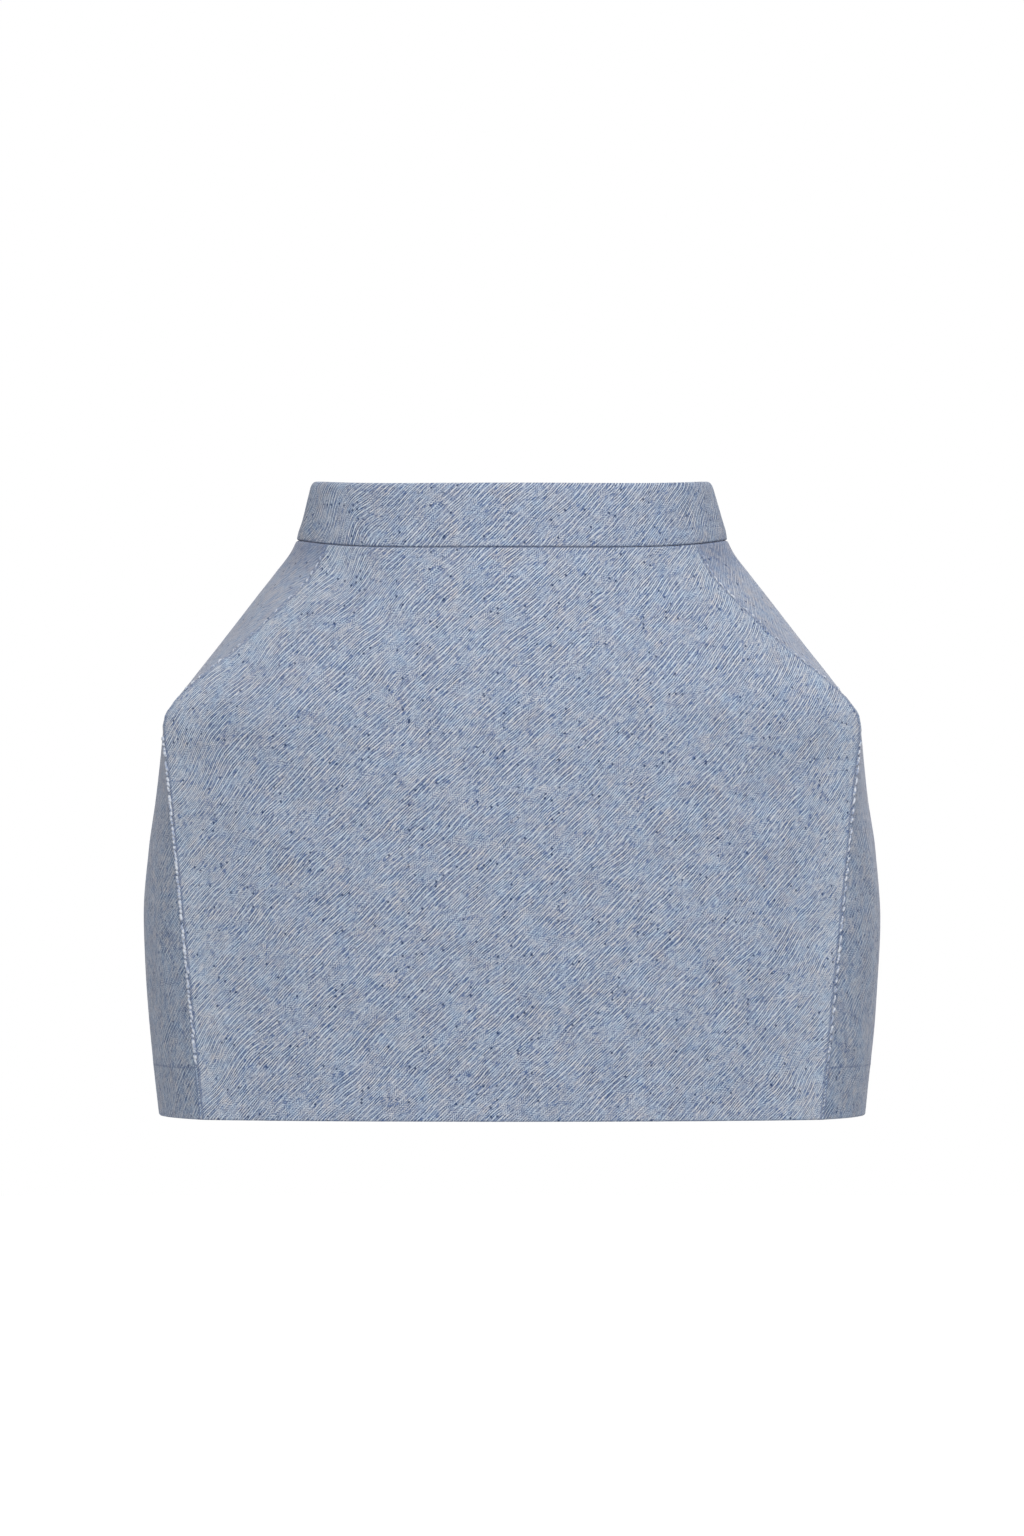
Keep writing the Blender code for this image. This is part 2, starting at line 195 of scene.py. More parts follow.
def band_cut(drops, across):
    """An oval: x is the half width times the sine of the turn, y the front or back depth times its
    cosine. The turn runs from the zip's one side to its other, round the front."""
    gap = np.interp(drops, [SLOT_OPEN_DROP, SLOT_CLOSED_DROP], [SLOT_HALF, SEAM_GAP / 2])
    widths = column(BAND, "side", drops)
    turn = across * (math.pi - np.arcsin(gap / widths))
    depth = np.where(np.cos(turn) > 0, -column(BAND, "front", drops), column(BAND, "back", drops))
    y = -depth * np.cos(turn)
    up = (WAIST_DROP - drops) / (WAIST_DROP - TOP_DROP)
    sag = TOP_EDGE_DIP * ease(y / BAND["front"][0]) * up + waist_dip(y, WAIST_DROP) * (1 - up)
    return np.stack(np.broadcast_arrays(widths * np.sin(turn), y, -drops - sag), axis=-1)


# %% [markdown]
# ## Grids that crowd towards the seams
# A sewn edge needs faces of a few tenths of a millimetre, and the open cloth only needs some every
# three millimetres. So every grid has a few columns at fixed distances from both of its side edges,
# measured square to the seam, and even ones between them, and the rows do the same at top and
# bottom.

# %% Grid lines
EDGE_LINES = np.array([0, 0.00012, 0.0003, 0.0006, 0.0010, 0.0015, 0.0023, 0.0036, 0.0056, 0.0080])
COLUMN_STEP, ROW_STEP = 0.0040, 0.0030
SHORT_STEP = 1e-4  # in share across, to measure a row's speed


def unit(vectors):
    """Vectors of length one."""
    return vectors / np.maximum(np.linalg.norm(vectors, axis=-1, keepdims=True), 1e-12)


def crowded(low, high, step, first=EDGE_LINES, last=EDGE_LINES):
    """Places from low to high that crowd at both ends by the given distances."""
    start, end = low + first[-1], high - last[-1]
    between = np.linspace(start, end, max(2, round((end - start) / step)) + 1)
    return np.concatenate([low + first[:-1], between, (high - last[:-1])[::-1]])


def grid_across(cut, drops, left, right):
    """The shares across at which a cut's columns stand: at each row an edge distance is divided by
    the speed of the row times the sine of its angle to the seam, so distances are square to the
    seam."""

    def from_edge(edge, inwards):
        at = cut(drops[:, None], np.array([[edge, edge + inwards * SHORT_STEP]]))
        along_row = (at[:, 1] - at[:, 0]) / SHORT_STEP
        speed = np.linalg.norm(along_row, axis=-1)
        turned = (unit(along_row) * unit(np.gradient(at[:, 0], axis=0))).sum(-1)
        return edge + inwards * EDGE_LINES[None, :] / (speed * np.sqrt(1 - turned**2))[:, None]

    lefts, rights = from_edge(left, 1), from_edge(right, -1)[:, ::-1]
    middle = cut(drops[:, None], np.linspace(left, right, 60)[None])
    widest = np.linalg.norm(np.diff(middle, axis=1), axis=-1).sum(1).max()
    count = round((widest - 2 * EDGE_LINES[-1]) / COLUMN_STEP)
    share = np.linspace(0, 1, count + 1)[None, 1:-1]
    between = lefts[:, -1:] * (1 - share) + rights[:, :1] * share
    return np.concatenate([lefts, between, rights], axis=1)


def outward(points):
    """Unit normals: the step to the right crossed with the step upwards."""
    return unit(np.cross(np.gradient(points, axis=1), -np.gradient(points, axis=0)))


# %% [markdown]
# ## Soft creases
# A firm knit shows few folds: shallow troughs that start at the sharp hip corners, long flat waves
# that run to the hem, and small puckers that the thread pulls in beside the seams. Each is a smooth
# hollow placed on the cut, so its size can be read from its row: the places across and
# down, the turn, the length, the width and the depth. A cloth simulation would move the sewn
# outline, which this skirt keeps.

# %% Tables of creases
FRONT_CREASES = [
    (-165, 150, 24, 62, 15, 0.85),
    (-128, 176, 38, 75, 20, -0.40),
    (172, 146, -20, 50, 13, 0.70),
    (140, 185, -44, 70, 22, 0.45),
    (-102, 52, 84, 50, 13, 0.40),
    (95, 44, -80, 40, 12, 0.35),
    (-60, 270, 96, 105, 30, 0.80),
    (15, 292, 88, 80, 24, -0.60),
    (82, 262, 80, 110, 34, 0.70),
    (-12, 120, 20, 90, 40, 0.50),
    (148, 300, 104, 62, 20, 0.55),
    (-150, 306, 76, 58, 18, 0.50),
]
SIDE_CREASES = [
    (-42, 150, 74, 62, 13, 0.45),
    (44, 205, 98, 80, 15, 0.50),
    (-46, 275, 84, 70, 14, -0.30),
    (40, 300, 94, 50, 14, 0.40),
    (20, 60, 80, 40, 12, 0.15),
]
BACK_CREASES = [
    (-158, 156, 28, 58, 16, 0.85),
    (168, 150, -24, 64, 14, 0.80),
    (-110, 200, 46, 76, 22, 0.50),
    (118, 214, -50, 70, 20, -0.45),
    (-34, 168, 92, 50, 12, 0.60),
    (30, 182, 86, 44, 11, 0.55),
    (-78, 286, 98, 90, 28, 0.80),
    (64, 276, 84, 100, 30, 0.75),
    (140, 300, 78, 60, 20, 0.50),
]
BAND_CREASES = [
    (-150, 20, 82, 30, 8, 0.30),
    (-190, 22, 100, 24, 7, 0.25),
    (155, 18, 96, 28, 8, 0.28),
    (30, 20, 88, 30, 20, 0.18),
    (-70, 20, 94, 30, 16, 0.20),
    (280, 20, 86, 26, 10, 0.25),
    (-300, 20, 96, 26, 10, 0.25),
]


# %% Creases, waves and puckers
WAVES = [(93, 61, 0.22), (-61, 55, 0.18), (34, 118, 0.20), (150, -70, 0.24)]  # lengths, and height
PUCKER_LENGTH, PUCKER_HEIGHT, PUCKER_REACH, PUCKER_START = 0.0093, 0.00016, 0.0070, 0.0012
PUCKER_DRIFT, PUCKER_DRIFT_LENGTH = 1.7, 0.061  # the drift in radians


def creased(creases, across, down):
    """The hollow's depth at places on the cut: for every crease a bell curve square to it, times a
    flatter bell (the fourth power) along it."""
    at_across, at_down, turn, length, width, depth = np.array(creases).T[..., None, None]
    dx, dy = 1000 * across - at_across, 1000 * down - at_down
    turn = np.radians(turn)
    along = dx * np.cos(turn) + dy * np.sin(turn)
    square = dy * np.cos(turn) - dx * np.sin(turn)
    bells = np.exp(-((square / width) ** 2) - (along / length) ** 4)
    return (depth * bells).sum(axis=0) / 1000


def uneven(across, down, phase):
    """The open cloth is never quite flat: the sum of crossed sine waves, 40 to 100 mm long."""
    result = 0.0
    for number, (length_across, length_down, height) in enumerate(WAVES):
        turn = 2000 * math.pi * (across / length_across + down / length_down)
        turn = turn + phase * (number + 1.3)
        result = result + height / 1000 * np.sin(turn)
    return result


def puckers(from_seam, down, phase):
    """Beside a seam the thread pulls the cloth in: a wave whose length drifts, which dies out away
    from the seam."""
    beat = 2 * math.pi * down / PUCKER_LENGTH + phase
    beat = beat + PUCKER_DRIFT * np.sin(2 * math.pi * down / PUCKER_DRIFT_LENGTH + phase)
    fading = np.exp(-((from_seam / PUCKER_REACH) ** 2)) * ease(from_seam / PUCKER_START)
    return PUCKER_HEIGHT * np.sin(beat) * fading


# %% [markdown]
# ## Ribs that bend
# The ribs climb at one angle only where the cloth lies free. Where a maker eases it into a seam or
# round the hip it is turned a little, so the ribs stand steeper towards the sides and bend at a few
# places. The pattern is read from each piece laid flat, so it is the flat map that is turned there:
# a row has the bend's places across and down, its size and its turn. The back has the front's
# bends.

# %% Tables of bends
FAN, FAN_MIDDLE = 4.5, -0.030  # how fast the ribs steepen, per square metre, and where they do not
FRONT_BENDS = [
    (-196, 135, 34, 15),
    (-168, 60, 22, 16),
    (-106, 10, 18, 30),
    (-70, 42, 18, 8),
    (8, 40, 28, -5),
    (75, 22, 20, 6),
    (-158, 232, 18, 10),
    (-182, 314, 22, 18),
    (-114, 338, 26, -5),
    (178, 250, 22, 8),
    (182, 332, 20, 18),
]
SIDE_BENDS = [
    (-48, 150, 22, 24),
    (46, 196, 24, -22),
    (-40, 240, 22, -26),
    (44, 286, 22, 28),
    (-46, 330, 20, 26),
]
BAND_BENDS = [(-128, 14, 24, 34), (-108, 33, 18, 24), (138, 26, 17, 16), (85, 36, 16, 8)]


def bent(flat, bends):
    """The flat map with its pattern turned: round every bend by its turn times a bell curve of the
    distance, and fanned out by a cube of the distance from the middle."""
    across, up = flat[..., 0], flat[..., 1]
    moved = np.stack([across + FAN * (across - FAN_MIDDLE) ** 3 / 3, up], axis=-1)
    for at_across, at_down, size, turn in bends:
        dx, dy = across - at_across / 1000, up + at_down / 1000
        turn = -math.radians(turn) * np.exp(-(dx**2 + dy**2) / (size / 1000) ** 2)
        moved[..., 0] += dx * np.cos(turn) - dy * np.sin(turn) - dx
        moved[..., 1] += dx * np.sin(turn) + dy * np.cos(turn) - dy
    return moved


# %% [markdown]
# ## Cloth as a closed shell
# Each piece is two grids, its outer and its inner face, joined round their edges, so it is one
# closed wall with a real thickness. At a seam the cloth turns inwards on a small radius, which
# leaves the fine dark ditch between two pieces, and inside it is doubled by the seam allowance,
# pressed open. Solidify would give the thickness in one step, but not the allowances, the turned-up
# hem and the mitre where two walls meet.

# %% Turned edges, wall thickness and mitres
SEAM_TURN = 0.0012  # radius on which the cloth turns into a seam
ALLOWANCE_WIDTH, ALLOWANCE_STEP, ALLOWANCE_SLOPE = 0.0105, 0.0015, 0.0008
MITRE_REACH = 0.0080
HEM_RIDGE, HEM_RIDGE_REACH = 0.00014, 0.0024  # the turned-up edge just shows through
HEM_FOLD_REACH, HEM_FOLD_DEPTH = 0.0013, 0.0015  # the fold's rounding, seen in section


def turned(distance, reach, depth=None):
    """How far the face lies inside at a distance from the edge: a quarter of a circle of radius
    reach, or of an ellipse where a depth is given."""
    short = np.clip(1 - distance / reach, 0, 1)
    return (reach if depth is None else depth) * (1 - np.sqrt(1 - short**2))


# %% Lengths along a grid
def arc_lengths(points, axis):
    """Distance along grid lines from their first point: the running sum of the steps' lengths."""
    steps = np.linalg.norm(np.diff(points, axis=axis), axis=-1)
    zero = np.zeros_like(np.take(steps, [0], axis=axis))
    return np.concatenate([zero, np.cumsum(steps, axis=axis)], axis=axis)


def read_along(run, points, wanted):
    """Points of a line, or other vectors along it, at the wanted distances from its start."""
    return np.stack([np.interp(wanted, run, points[:, axis]) for axis in range(3)], axis=-1)


def edge_distances(points):
    """Distance to the nearer side edge: the fixed edge lines near it, and the row's own length
    further in."""
    length = arc_lengths(points, 1)
    lines = np.full(points.shape[1], np.inf)
    lines[: len(EDGE_LINES)] = EDGE_LINES
    lines[-len(EDGE_LINES) :] = EDGE_LINES[::-1]
    return np.minimum(np.minimum(length, length[:, -1:] - length), lines[None])


# %% From a grid to a piece
def new_object(name, data):
    """An object in the scene."""
    made = bpy.data.objects.new(name, data)
    bpy.context.scene.collection.objects.link(made)
    return made


def tell(piece):
    """Prints a piece's name, number of faces and size."""
    size = [round(float(x) * 1000, 1) for x in piece.dimensions]
    print(piece.name, len(piece.data.polygons), "faces,", size, "mm")


def new_piece(name, points, faces, *finishes):
    """An object from points and faces, shaded smooth."""
    mesh = bpy.data.meshes.new(name)
    mesh.from_pydata(points.reshape(-1, 3).tolist(), [], faces)
    mesh.polygons.foreach_set("use_smooth", np.ones(len(faces), bool))
    for finish in finishes:
        mesh.materials.append(finish)
    mesh.update()
    return new_object(name, mesh)


def closed_shell(name, outer, inner, maps, *finishes):
    """A mesh from two grids of the same size. The outer grid's quads turn anticlockwise as seen
    from outside, the inner ones the other way, and a ring of quads joins the two borders."""
    index = np.arange(outer[..., 0].size).reshape(outer.shape[:2])
    far = index.size
    corners = [index[:-1, :-1], index[1:, :-1], index[1:, 1:], index[:-1, 1:]]
    face = np.stack(corners, -1).reshape(-1, 4)
    ring = np.concatenate([index[0, :-1], index[:-1, -1], index[-1, :0:-1], index[:0:-1, 0]])
    after = np.roll(ring, -1)
    rim = np.stack([ring, after, after + far, ring + far], -1)
    quads = np.concatenate([face, face[:, ::-1] + far, rim])
    made = new_piece(name, np.stack([outer, inner]), quads.tolist(), *finishes)
    for map_name, values in maps.items():
        layer = made.data.uv_layers.new(name=map_name, do_init=False)
        both = np.concatenate([values.reshape(-1, 2)] * 2)
        layer.uv.foreach_set("vector", both[quads.ravel()].astype(np.float32).ravel())
    inside = np.zeros(len(quads), np.int32)
    inside[len(face) : 2 * len(face)] = len(finishes) - 1
    made.data.polygons.foreach_set("material_index", inside)
    made.data.update()
    return made


def sewn_on(piece, *nodes, slot):
    """The piece rides on the skirt and stands for its solids, which are hidden."""
    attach(piece, "skirt")
    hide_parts(*nodes)
    return piece


# %% [markdown]
# ## The knit, as a recipe of nodes
# The cloth is knitted from a pale and a blue-grey yarn, with fine ribs that climb to the right at
# nearly 45 degrees. An image would fix the pattern at one size, so it is worked out by nodes from
# each piece's own cut, laid out flat in metres in the map called cut: a rib stays a rib over every
# curve. Strong ribs have a fine one between them. Both wander, fade and swell, in places they break
# up into dots, and dark slubs and small flecks lie along them.


# %% Small helpers for nodes
class Value:
    """One output of a node. A sum, a difference or a product of values is one more Math node."""

    def __init__(self, socket):
        self.socket, self.tree = socket, socket.id_data

    def __add__(self, other):
        return calc("ADD", self, other)

    def __sub__(self, other):
        return calc("SUBTRACT", self, other)

    def __mul__(self, other):
        return calc("MULTIPLY", self, other)


def feed(socket, value):
    """Gives an input its number or colour, or the value that feeds it."""
    if isinstance(value, Value):
        value.tree.links.new(value.socket, socket)
    else:
        socket.default_value = value


def node(kind, inputs=(), tree=None, **settings):
    """One shader node, in the tree of the values that feed it. Its inputs go by order or name."""
    inputs = inputs if isinstance(inputs, dict) else dict(enumerate(inputs))
    for value in inputs.values():
        tree = value.tree if isinstance(value, Value) else tree
    made = tree.nodes.new("ShaderNode" + kind)
    for name, setting in settings.items():
        setattr(made, name, setting)
    for key, value in inputs.items():
        feed(made.inputs[key], value)
    return made


def outputs(kind, inputs=(), **settings):
    """All outputs of a new node, by name."""
    return {socket.name: Value(socket) for socket in node(kind, inputs, **settings).outputs}


def output(kind, inputs=(), key=0, **settings):
    """One output of a new node."""
    return Value(node(kind, inputs, **settings).outputs[key])


def calc(operation, *values):
    """One step of arithmetic."""
    return output("Math", values, operation=operation)


# %% Patches, soft steps, colours and bumps
def in_millimetres(vector):
    """A vector in metres, in millimetres."""
    return output("VectorMath", {0: vector, "Scale": 1000.0}, operation="SCALE")


def noise(where, length, width, offset, detail=0.0):
    """Soft random values around 0.5 in patches of about length x width millimetres."""
    terms = (where, (1 / length, 1 / width, 1.0), (offset, offset * 1.7, 0.0))
    scaled = output("VectorMath", terms, operation="MULTIPLY_ADD")
    inputs = {"Vector": scaled, "Scale": 1.0, "Detail": detail}
    return output("TexNoise", inputs, noise_dimensions="2D")


def swing(*patch):
    """The same around zero."""
    return noise(*patch) - 0.5


def ramped(value, low, high, to_low=0.0, to_high=1.0):
    """A soft step from one value to another."""
    inputs = (value, low, high, to_low, to_high)
    return output("MapRange", inputs, interpolation_type="SMOOTHSTEP")


def mixed(share, first, second, blend="MIX"):
    """A colour between two others, or their product."""
    inputs = {0: share, 6: first, 7: second}
    return output("Mix", inputs, key=2, data_type="RGBA", blend_type=blend)


def bumped(height, strength, distance):
    """The normal of a surface with small heights."""
    return output("Bump", {"Strength": strength, "Distance": distance, "Height": height})


# %% Groups and finishes
def new_group(name, vectors, numbers, recipe):
    """A node group. The recipe works out its outputs, which are all numbers, from its inputs."""
    group = bpy.data.node_groups.new(name, "ShaderNodeTree")
    for kind, sockets in (("Vector", vectors), ("Float", numbers)):
        for socket in sockets:
            group.interface.new_socket(socket, in_out="INPUT", socket_type="NodeSocket" + kind)
    given = group.nodes.new("NodeGroupInput").outputs
    results = recipe(*(Value(given[socket]) for socket in vectors + numbers))
    for socket in results:
        group.interface.new_socket(socket, in_out="OUTPUT", socket_type="NodeSocketFloat")
    out = group.nodes.new("NodeGroupOutput")
    for socket, value in results.items():
        feed(out.inputs[socket], value)
    return group


def new_finish(name, recipe, **choices):
    """A material. The recipe says what its shader's inputs hold, or which values feed them."""
    made = bpy.data.materials.new(name)
    made.use_nodes = True
    shader = made.node_tree.nodes["Principled BSDF"]
    for socket, value in recipe(made.node_tree, **choices).items():
        feed(shader.inputs[socket], value)
    return made


# %% The ribbed knit
RIB_SPACING = 2.70  # millimetres from one strong rib to the next
RIB_RISE = math.radians(43.5)  # the angle at which the ribs climb
EYE_SPACING = 1.50  # from one dot to the next along a rib, where the ribs break up into dots
TWIST_SPACING = 1.55  # from one turn of the yarn to the next
FLECK_SPACING = 4.2


def ribbed_knit(cut, ribs_share, patches_share, slubs_share, broken):
    """The tone is 0.5 plus a weighted sum of waves and patches. Rising is the cut turned by the
    ribs' angle, so its x runs along a rib. All lengths are in millimetres."""
    cut = in_millimetres(cut)
    rising = output("Mapping", {"Vector": cut, "Rotation": (0, 0, -RIB_RISE)})
    along, across, _ = outputs("SeparateXYZ", (rising,)).values()

    drift, swirl = swing(rising, 34, 24, 3.1), swing(rising, 14, 10, 83.1)
    jog = swing(rising, 9, 4.2, 7.7)
    wandering = drift * 3.0 + swirl * 1.05 + jog * 0.40 + across
    turn = wandering * (2 * math.pi / RIB_SPACING)
    strong = calc("COSINE", turn) * ramped(noise(rising, 20, 8, 11.3), 0.34, 0.62, 0.35, 1.1)
    fine = calc("COSINE", turn * 2.0) * ramped(noise(rising, 13, 4.4, 17.9), 0.34, 0.64, 0.60, 1.1)
    fine = fine * ramped(noise(rising, 1.9, 1.3, 19.6), 0.30, 0.70, 0.50, 1.25)
    eyes_share = ramped(noise(cut, 21, 15, 13.9, 1.0) + broken * 0.10, 0.54, 0.65)
    eyes = calc("COSINE", along * (2 * math.pi / EYE_SPACING) + jog * 14.0)
    eyes = eyes * calc("SINE", turn * 2.0) * eyes_share
    ribs = (strong * 0.20 + fine * 0.34) * (eyes_share * -0.50 + 1.0)
    ribs = (ribs + eyes * 0.26) * ribs_share

    threads = swing(rising, 4.2, 0.66, 23.4, 1.0) * (ribs_share * 0.6 + 0.4)
    twist = calc("SINE", along * (2 * math.pi / TWIST_SPACING) + wandering * 1.9 + jog * 9.0)
    grain = swing(cut, 0.82, 0.82, 31.2, 1.0) * 0.85 + twist * 0.05
    patches = swing(cut, 4.6, 8.5, 36.6, 2.5) * patches_share
    mottle = swing(cut, 14, 14, 41.9, 2.0)

    cluster = ramped(noise(cut, 19, 6.5, 47.1, 1.0), 0.46, 0.60)
    dash = ramped(noise(rising, 4.4, 0.95, 53.8), 0.64, 0.71) * (cluster * 0.6 + 0.4) * slubs_share
    inputs = {"Vector": cut, "Scale": 1 / FLECK_SPACING}
    spot = outputs("TexVoronoi", inputs, voronoi_dimensions="2D")
    picked = ramped(output("SeparateColor", (spot["Color"],)), 0.79, 0.83)
    fleck = ramped(spot["Distance"], 0.13, 0.24, 1.0, 0.0) * picked
    fleck = fleck * cluster * slubs_share

    streaks, blots = swing(rising, 11, 1.1, 61.3, 1.0), swing(cut, 6.5, 5.0, 66.1, 1.0)
    clouds = swing(cut, 17, 13, 71.7)
    coarse = threads * 0.60 + ribs + patches + mottle * 0.16 + dash * -0.26
    return {
        "Tone": coarse + grain * 0.44 + streaks * 0.16 + blots * 0.12 + 0.5,
        "Height": threads * 0.9 + grain * 0.7 + fleck * -0.3 + patches * 0.5 + ribs * 1.6,
        "Dash": dash,
        "Fleck": fleck,
        "Warmth": streaks * 0.42 + blots * 0.55 + clouds * 0.36 + patches * 1.6 + 0.5,
    }


# %% [markdown]
# ## The sewn edge
# Beside each seam a thin blue line of painted shade follows the seam's ditch, and beside the side
# seams the cloth is painted paler, painted light that fades out over a few centimetres. The ribs
# break up near the seams, the waist and the hem. Above the hip corner the gores get a painted
# sheen, an even, paler and warmer tone, under the waistband they get painted shade, and on them a
# thin broken line of the same blue marks the top of the turned-up hem. The map called edges gives
# each point's distance to the nearest side seam, and to the hem, or below zero to the waist, and
# all of these are masks worked out from it.


# %% Lines and masks beside the seams
LINE_STARTS, LINE_ENDS = (0.5, 1.0), (1.8, 2.6)  # the painted shade line's soft borders, from the side seam
SEAM_LIGHT_REACH, BROKEN_REACH = 45.0, 30.0  # from a seam, of the painted light and of the broken ribs
BAND_SHADE = (-26.0, -7.0)  # from the far end of the band's shade to where it is deepest
CORNER_HEIGHTS = (-0.134, -0.118)  # in metres: the side line is weaker above the hip corner
PAINTED_SHEEN_HEIGHTS = (-0.225, -0.115)  # in metres: the gore's painted sheen grows towards the corner


def sewn_edge(edges, cut, place, side_share, end_share, fold_share):
    """Masks from the distances to the side seam and to the piece's ends, in millimetres, and from
    the height in metres."""
    from_side, to_end, _ = outputs("SeparateXYZ", (in_millimetres(edges),)).values()
    height = output("SeparateXYZ", (place,), key=2)
    from_end = calc("ABSOLUTE", to_end)
    from_fold = calc("ABSOLUTE", to_end - 1000 * HEM_TURN_UP)
    gaps = noise(in_millimetres(cut), 1.9, 1.9, 5.3, 1.0)

    # Line is painted shade: broken blue lines in the ditches of the side seams and at the ends, and
    # a like line at the top of the turned-up hem.
    frayed = from_side + (gaps * 1.4 - 0.7)
    side = ramped(frayed, *LINE_STARTS) * ramped(frayed, *LINE_ENDS, 1.0, 0.0)
    side = side * ramped(height, *CORNER_HEIGHTS, 1.0, 0.75) * side_share
    end = ramped(from_end, 0.25, 0.9, 1.0, 0.0) * ramped(gaps, 0.3, 0.6) * end_share
    fold = ramped(from_fold, 0.3, 1.0, 1.0, 0.0) * ramped(gaps, 0.28, 0.5) * fold_share
    # Painted light: a ramp that pales the cloth towards the side seams. The same ramp also breaks
    # up the ribs there.
    wear = ramped(from_side, 0.0, SEAM_LIGHT_REACH, 1.0, 0.0)
    return {
        "Line": calc("MAXIMUM", calc("MAXIMUM", side, end), fold),
        "Wear": wear,
        "Broken": calc("MAXIMUM", wear, ramped(from_end, 0.0, BROKEN_REACH, 1.0, 0.0)),
        # Above carries the painted sheen on the gores, and under band the painted shade below the
        # waistband.
        "Above": ramped(height, *PAINTED_SHEEN_HEIGHTS),
        "Under band": ramped(to_end, *BAND_SHADE) * calc("LESS_THAN", to_end, 0.0),
    }


KNIT = new_group("ribbed knit", ["Cut"], ["Ribs", "Patches", "Slubs", "Broken"], ribbed_knit)
EDGE = new_group("sewn edge", ["Edges", "Cut", "Place"], ["Side", "End", "Fold"], sewn_edge)


# %% Colours of the yarns
def screen(red, green, blue):
    """A colour picked on a screen, 0 to 255, as the linear light that shaders use."""
    share = np.array([red, green, blue]) / 255
    linear = np.where(share <= 0.04045, share / 12.92, ((share + 0.055) / 1.055) ** 2.4)
    return (*linear.tolist(), 1.0)


YARN_TONES = {
    0.04: screen(62, 76, 108),
    0.27: screen(104, 116, 143),
    0.50: screen(151, 161, 180),
    0.73: screen(179, 189, 201),
    0.96: screen(199, 206, 214),
}
# Seam blue is the painted shade of the seams' ditches.
DASH_BLUE, FLECK_BLUE, SEAM_SHADE_BLUE = screen(92, 116, 160), screen(34, 56, 92), screen(92, 107, 140)
COOL_TINT, WARM_TINT = (0.86, 1.02, 1.13, 1.0), (1.14, 0.98, 0.87, 1.0)
DASH_HIDES, FLECK_HIDES, SEAM_SHADE_HIDES = 0.45, 0.85, 0.62  # the share that each colour hides
PAINTED_SHEEN_TONE, PAINTED_SHEEN_WARMTH = 0.54, 0.25  # the painted sheen's even, paler tone and its warmth, on a gore


# %% The knit's three finishes
def knit_cloth(
    tree, ribs, patches=0.0, slubs=1.0, side=0.0, end=0.0, fold=0.0, wear=0.0, calm=0.0, shade=0.0,
    sheen=0.16, lightness=1.0, warmth=0.0,
):
    """One finish of the knit: its tone picks the yarn's colour, which is tinted in streaks and
    patches, and then slubs darken it and the seam lines darken it with painted shade. Seam light is
    painted light that pales the cloth beside the side seams, painted sheen pulls the tone towards
    an even, paler and warmer one above the hip corners, and shade is painted shade that darkens it
    under the waistband."""
    cut, edges = (output("UVMap", tree=tree, uv_map=name) for name in ("cut", "edges"))
    place = output("TexCoord", key="Object", tree=tree)
    inputs = {"Edges": edges, "Cut": cut, "Place": place, "Side": side, "End": end, "Fold": fold}
    edge = outputs("Group", inputs, node_tree=EDGE)
    inputs = {"Cut": cut, "Ribs": ribs, "Patches": patches, "Slubs": slubs}
    knit = outputs("Group", inputs | {"Broken": edge["Broken"]}, node_tree=KNIT)

    # Painted sheen: above the hip corners the tone is drawn to an even, paler one and warmed.
    scaled = edge["Above"] * calm
    tone = output("Mix", {0: scaled, 2: knit["Tone"] + edge["Wear"] * wear, 3: PAINTED_SHEEN_TONE})
    ramp = node("ValToRGB", (tone + edge["Under band"] * -shade,))
    stops = ramp.color_ramp.elements
    while len(stops) < len(YARN_TONES):
        stops.new(0.5)
    for stop, (position, yarn) in zip(stops, YARN_TONES.items()):
        stop.position, stop.color = position, (*(lightness * part for part in yarn[:3]), 1.0)
    tint = mixed(knit["Warmth"] + scaled * PAINTED_SHEEN_WARMTH + warmth, COOL_TINT, WARM_TINT)
    colour = mixed(1.0, Value(ramp.outputs["Color"]), tint, "MULTIPLY")
    colour = mixed(knit["Dash"] * DASH_HIDES, colour, DASH_BLUE)
    colour = mixed(knit["Fleck"] * FLECK_HIDES, colour, FLECK_BLUE)
    return {
        # Painted shade: the seam lines darken the colour towards blue.
        "Base Color": mixed(edge["Line"] * SEAM_SHADE_HIDES, colour, SEAM_SHADE_BLUE),
        "Roughness": ramped(knit["Tone"], 0.2, 0.8, 0.92, 0.80),
        "Normal": bumped(knit["Height"], 0.55, 0.00032),
        "Specular IOR Level": 0.22,
        "Sheen Weight": sheen,
        "Sheen Roughness": 0.30,
        "Sheen Tint": screen(232, 230, 238),
    }


# The face is painted paler beside the side seams: painted light.
knit_face = new_finish("knit_face", knit_cloth, ribs=1.0, side=0.9, end=1.0, wear=0.085)
knit_gore = new_finish(
    "knit_gore", knit_cloth, ribs=0.85, patches=0.38, slubs=0.9, side=0.8, end=1.0, fold=1.0,
    calm=0.50, shade=0.12, sheen=0.34, warmth=-0.05,
)
knit_back = new_finish("knit_back", knit_cloth, ribs=0.45, slubs=0.4, lightness=0.97)


# %% [markdown]
# ## Front, gores and back
# The five pieces below the waistband share their rows, so at every seam the two pieces know each
# other's direction and their walls end on the plane between them, as two mitred boards would.
# Creases fade out at the seams, which hold the cloth.

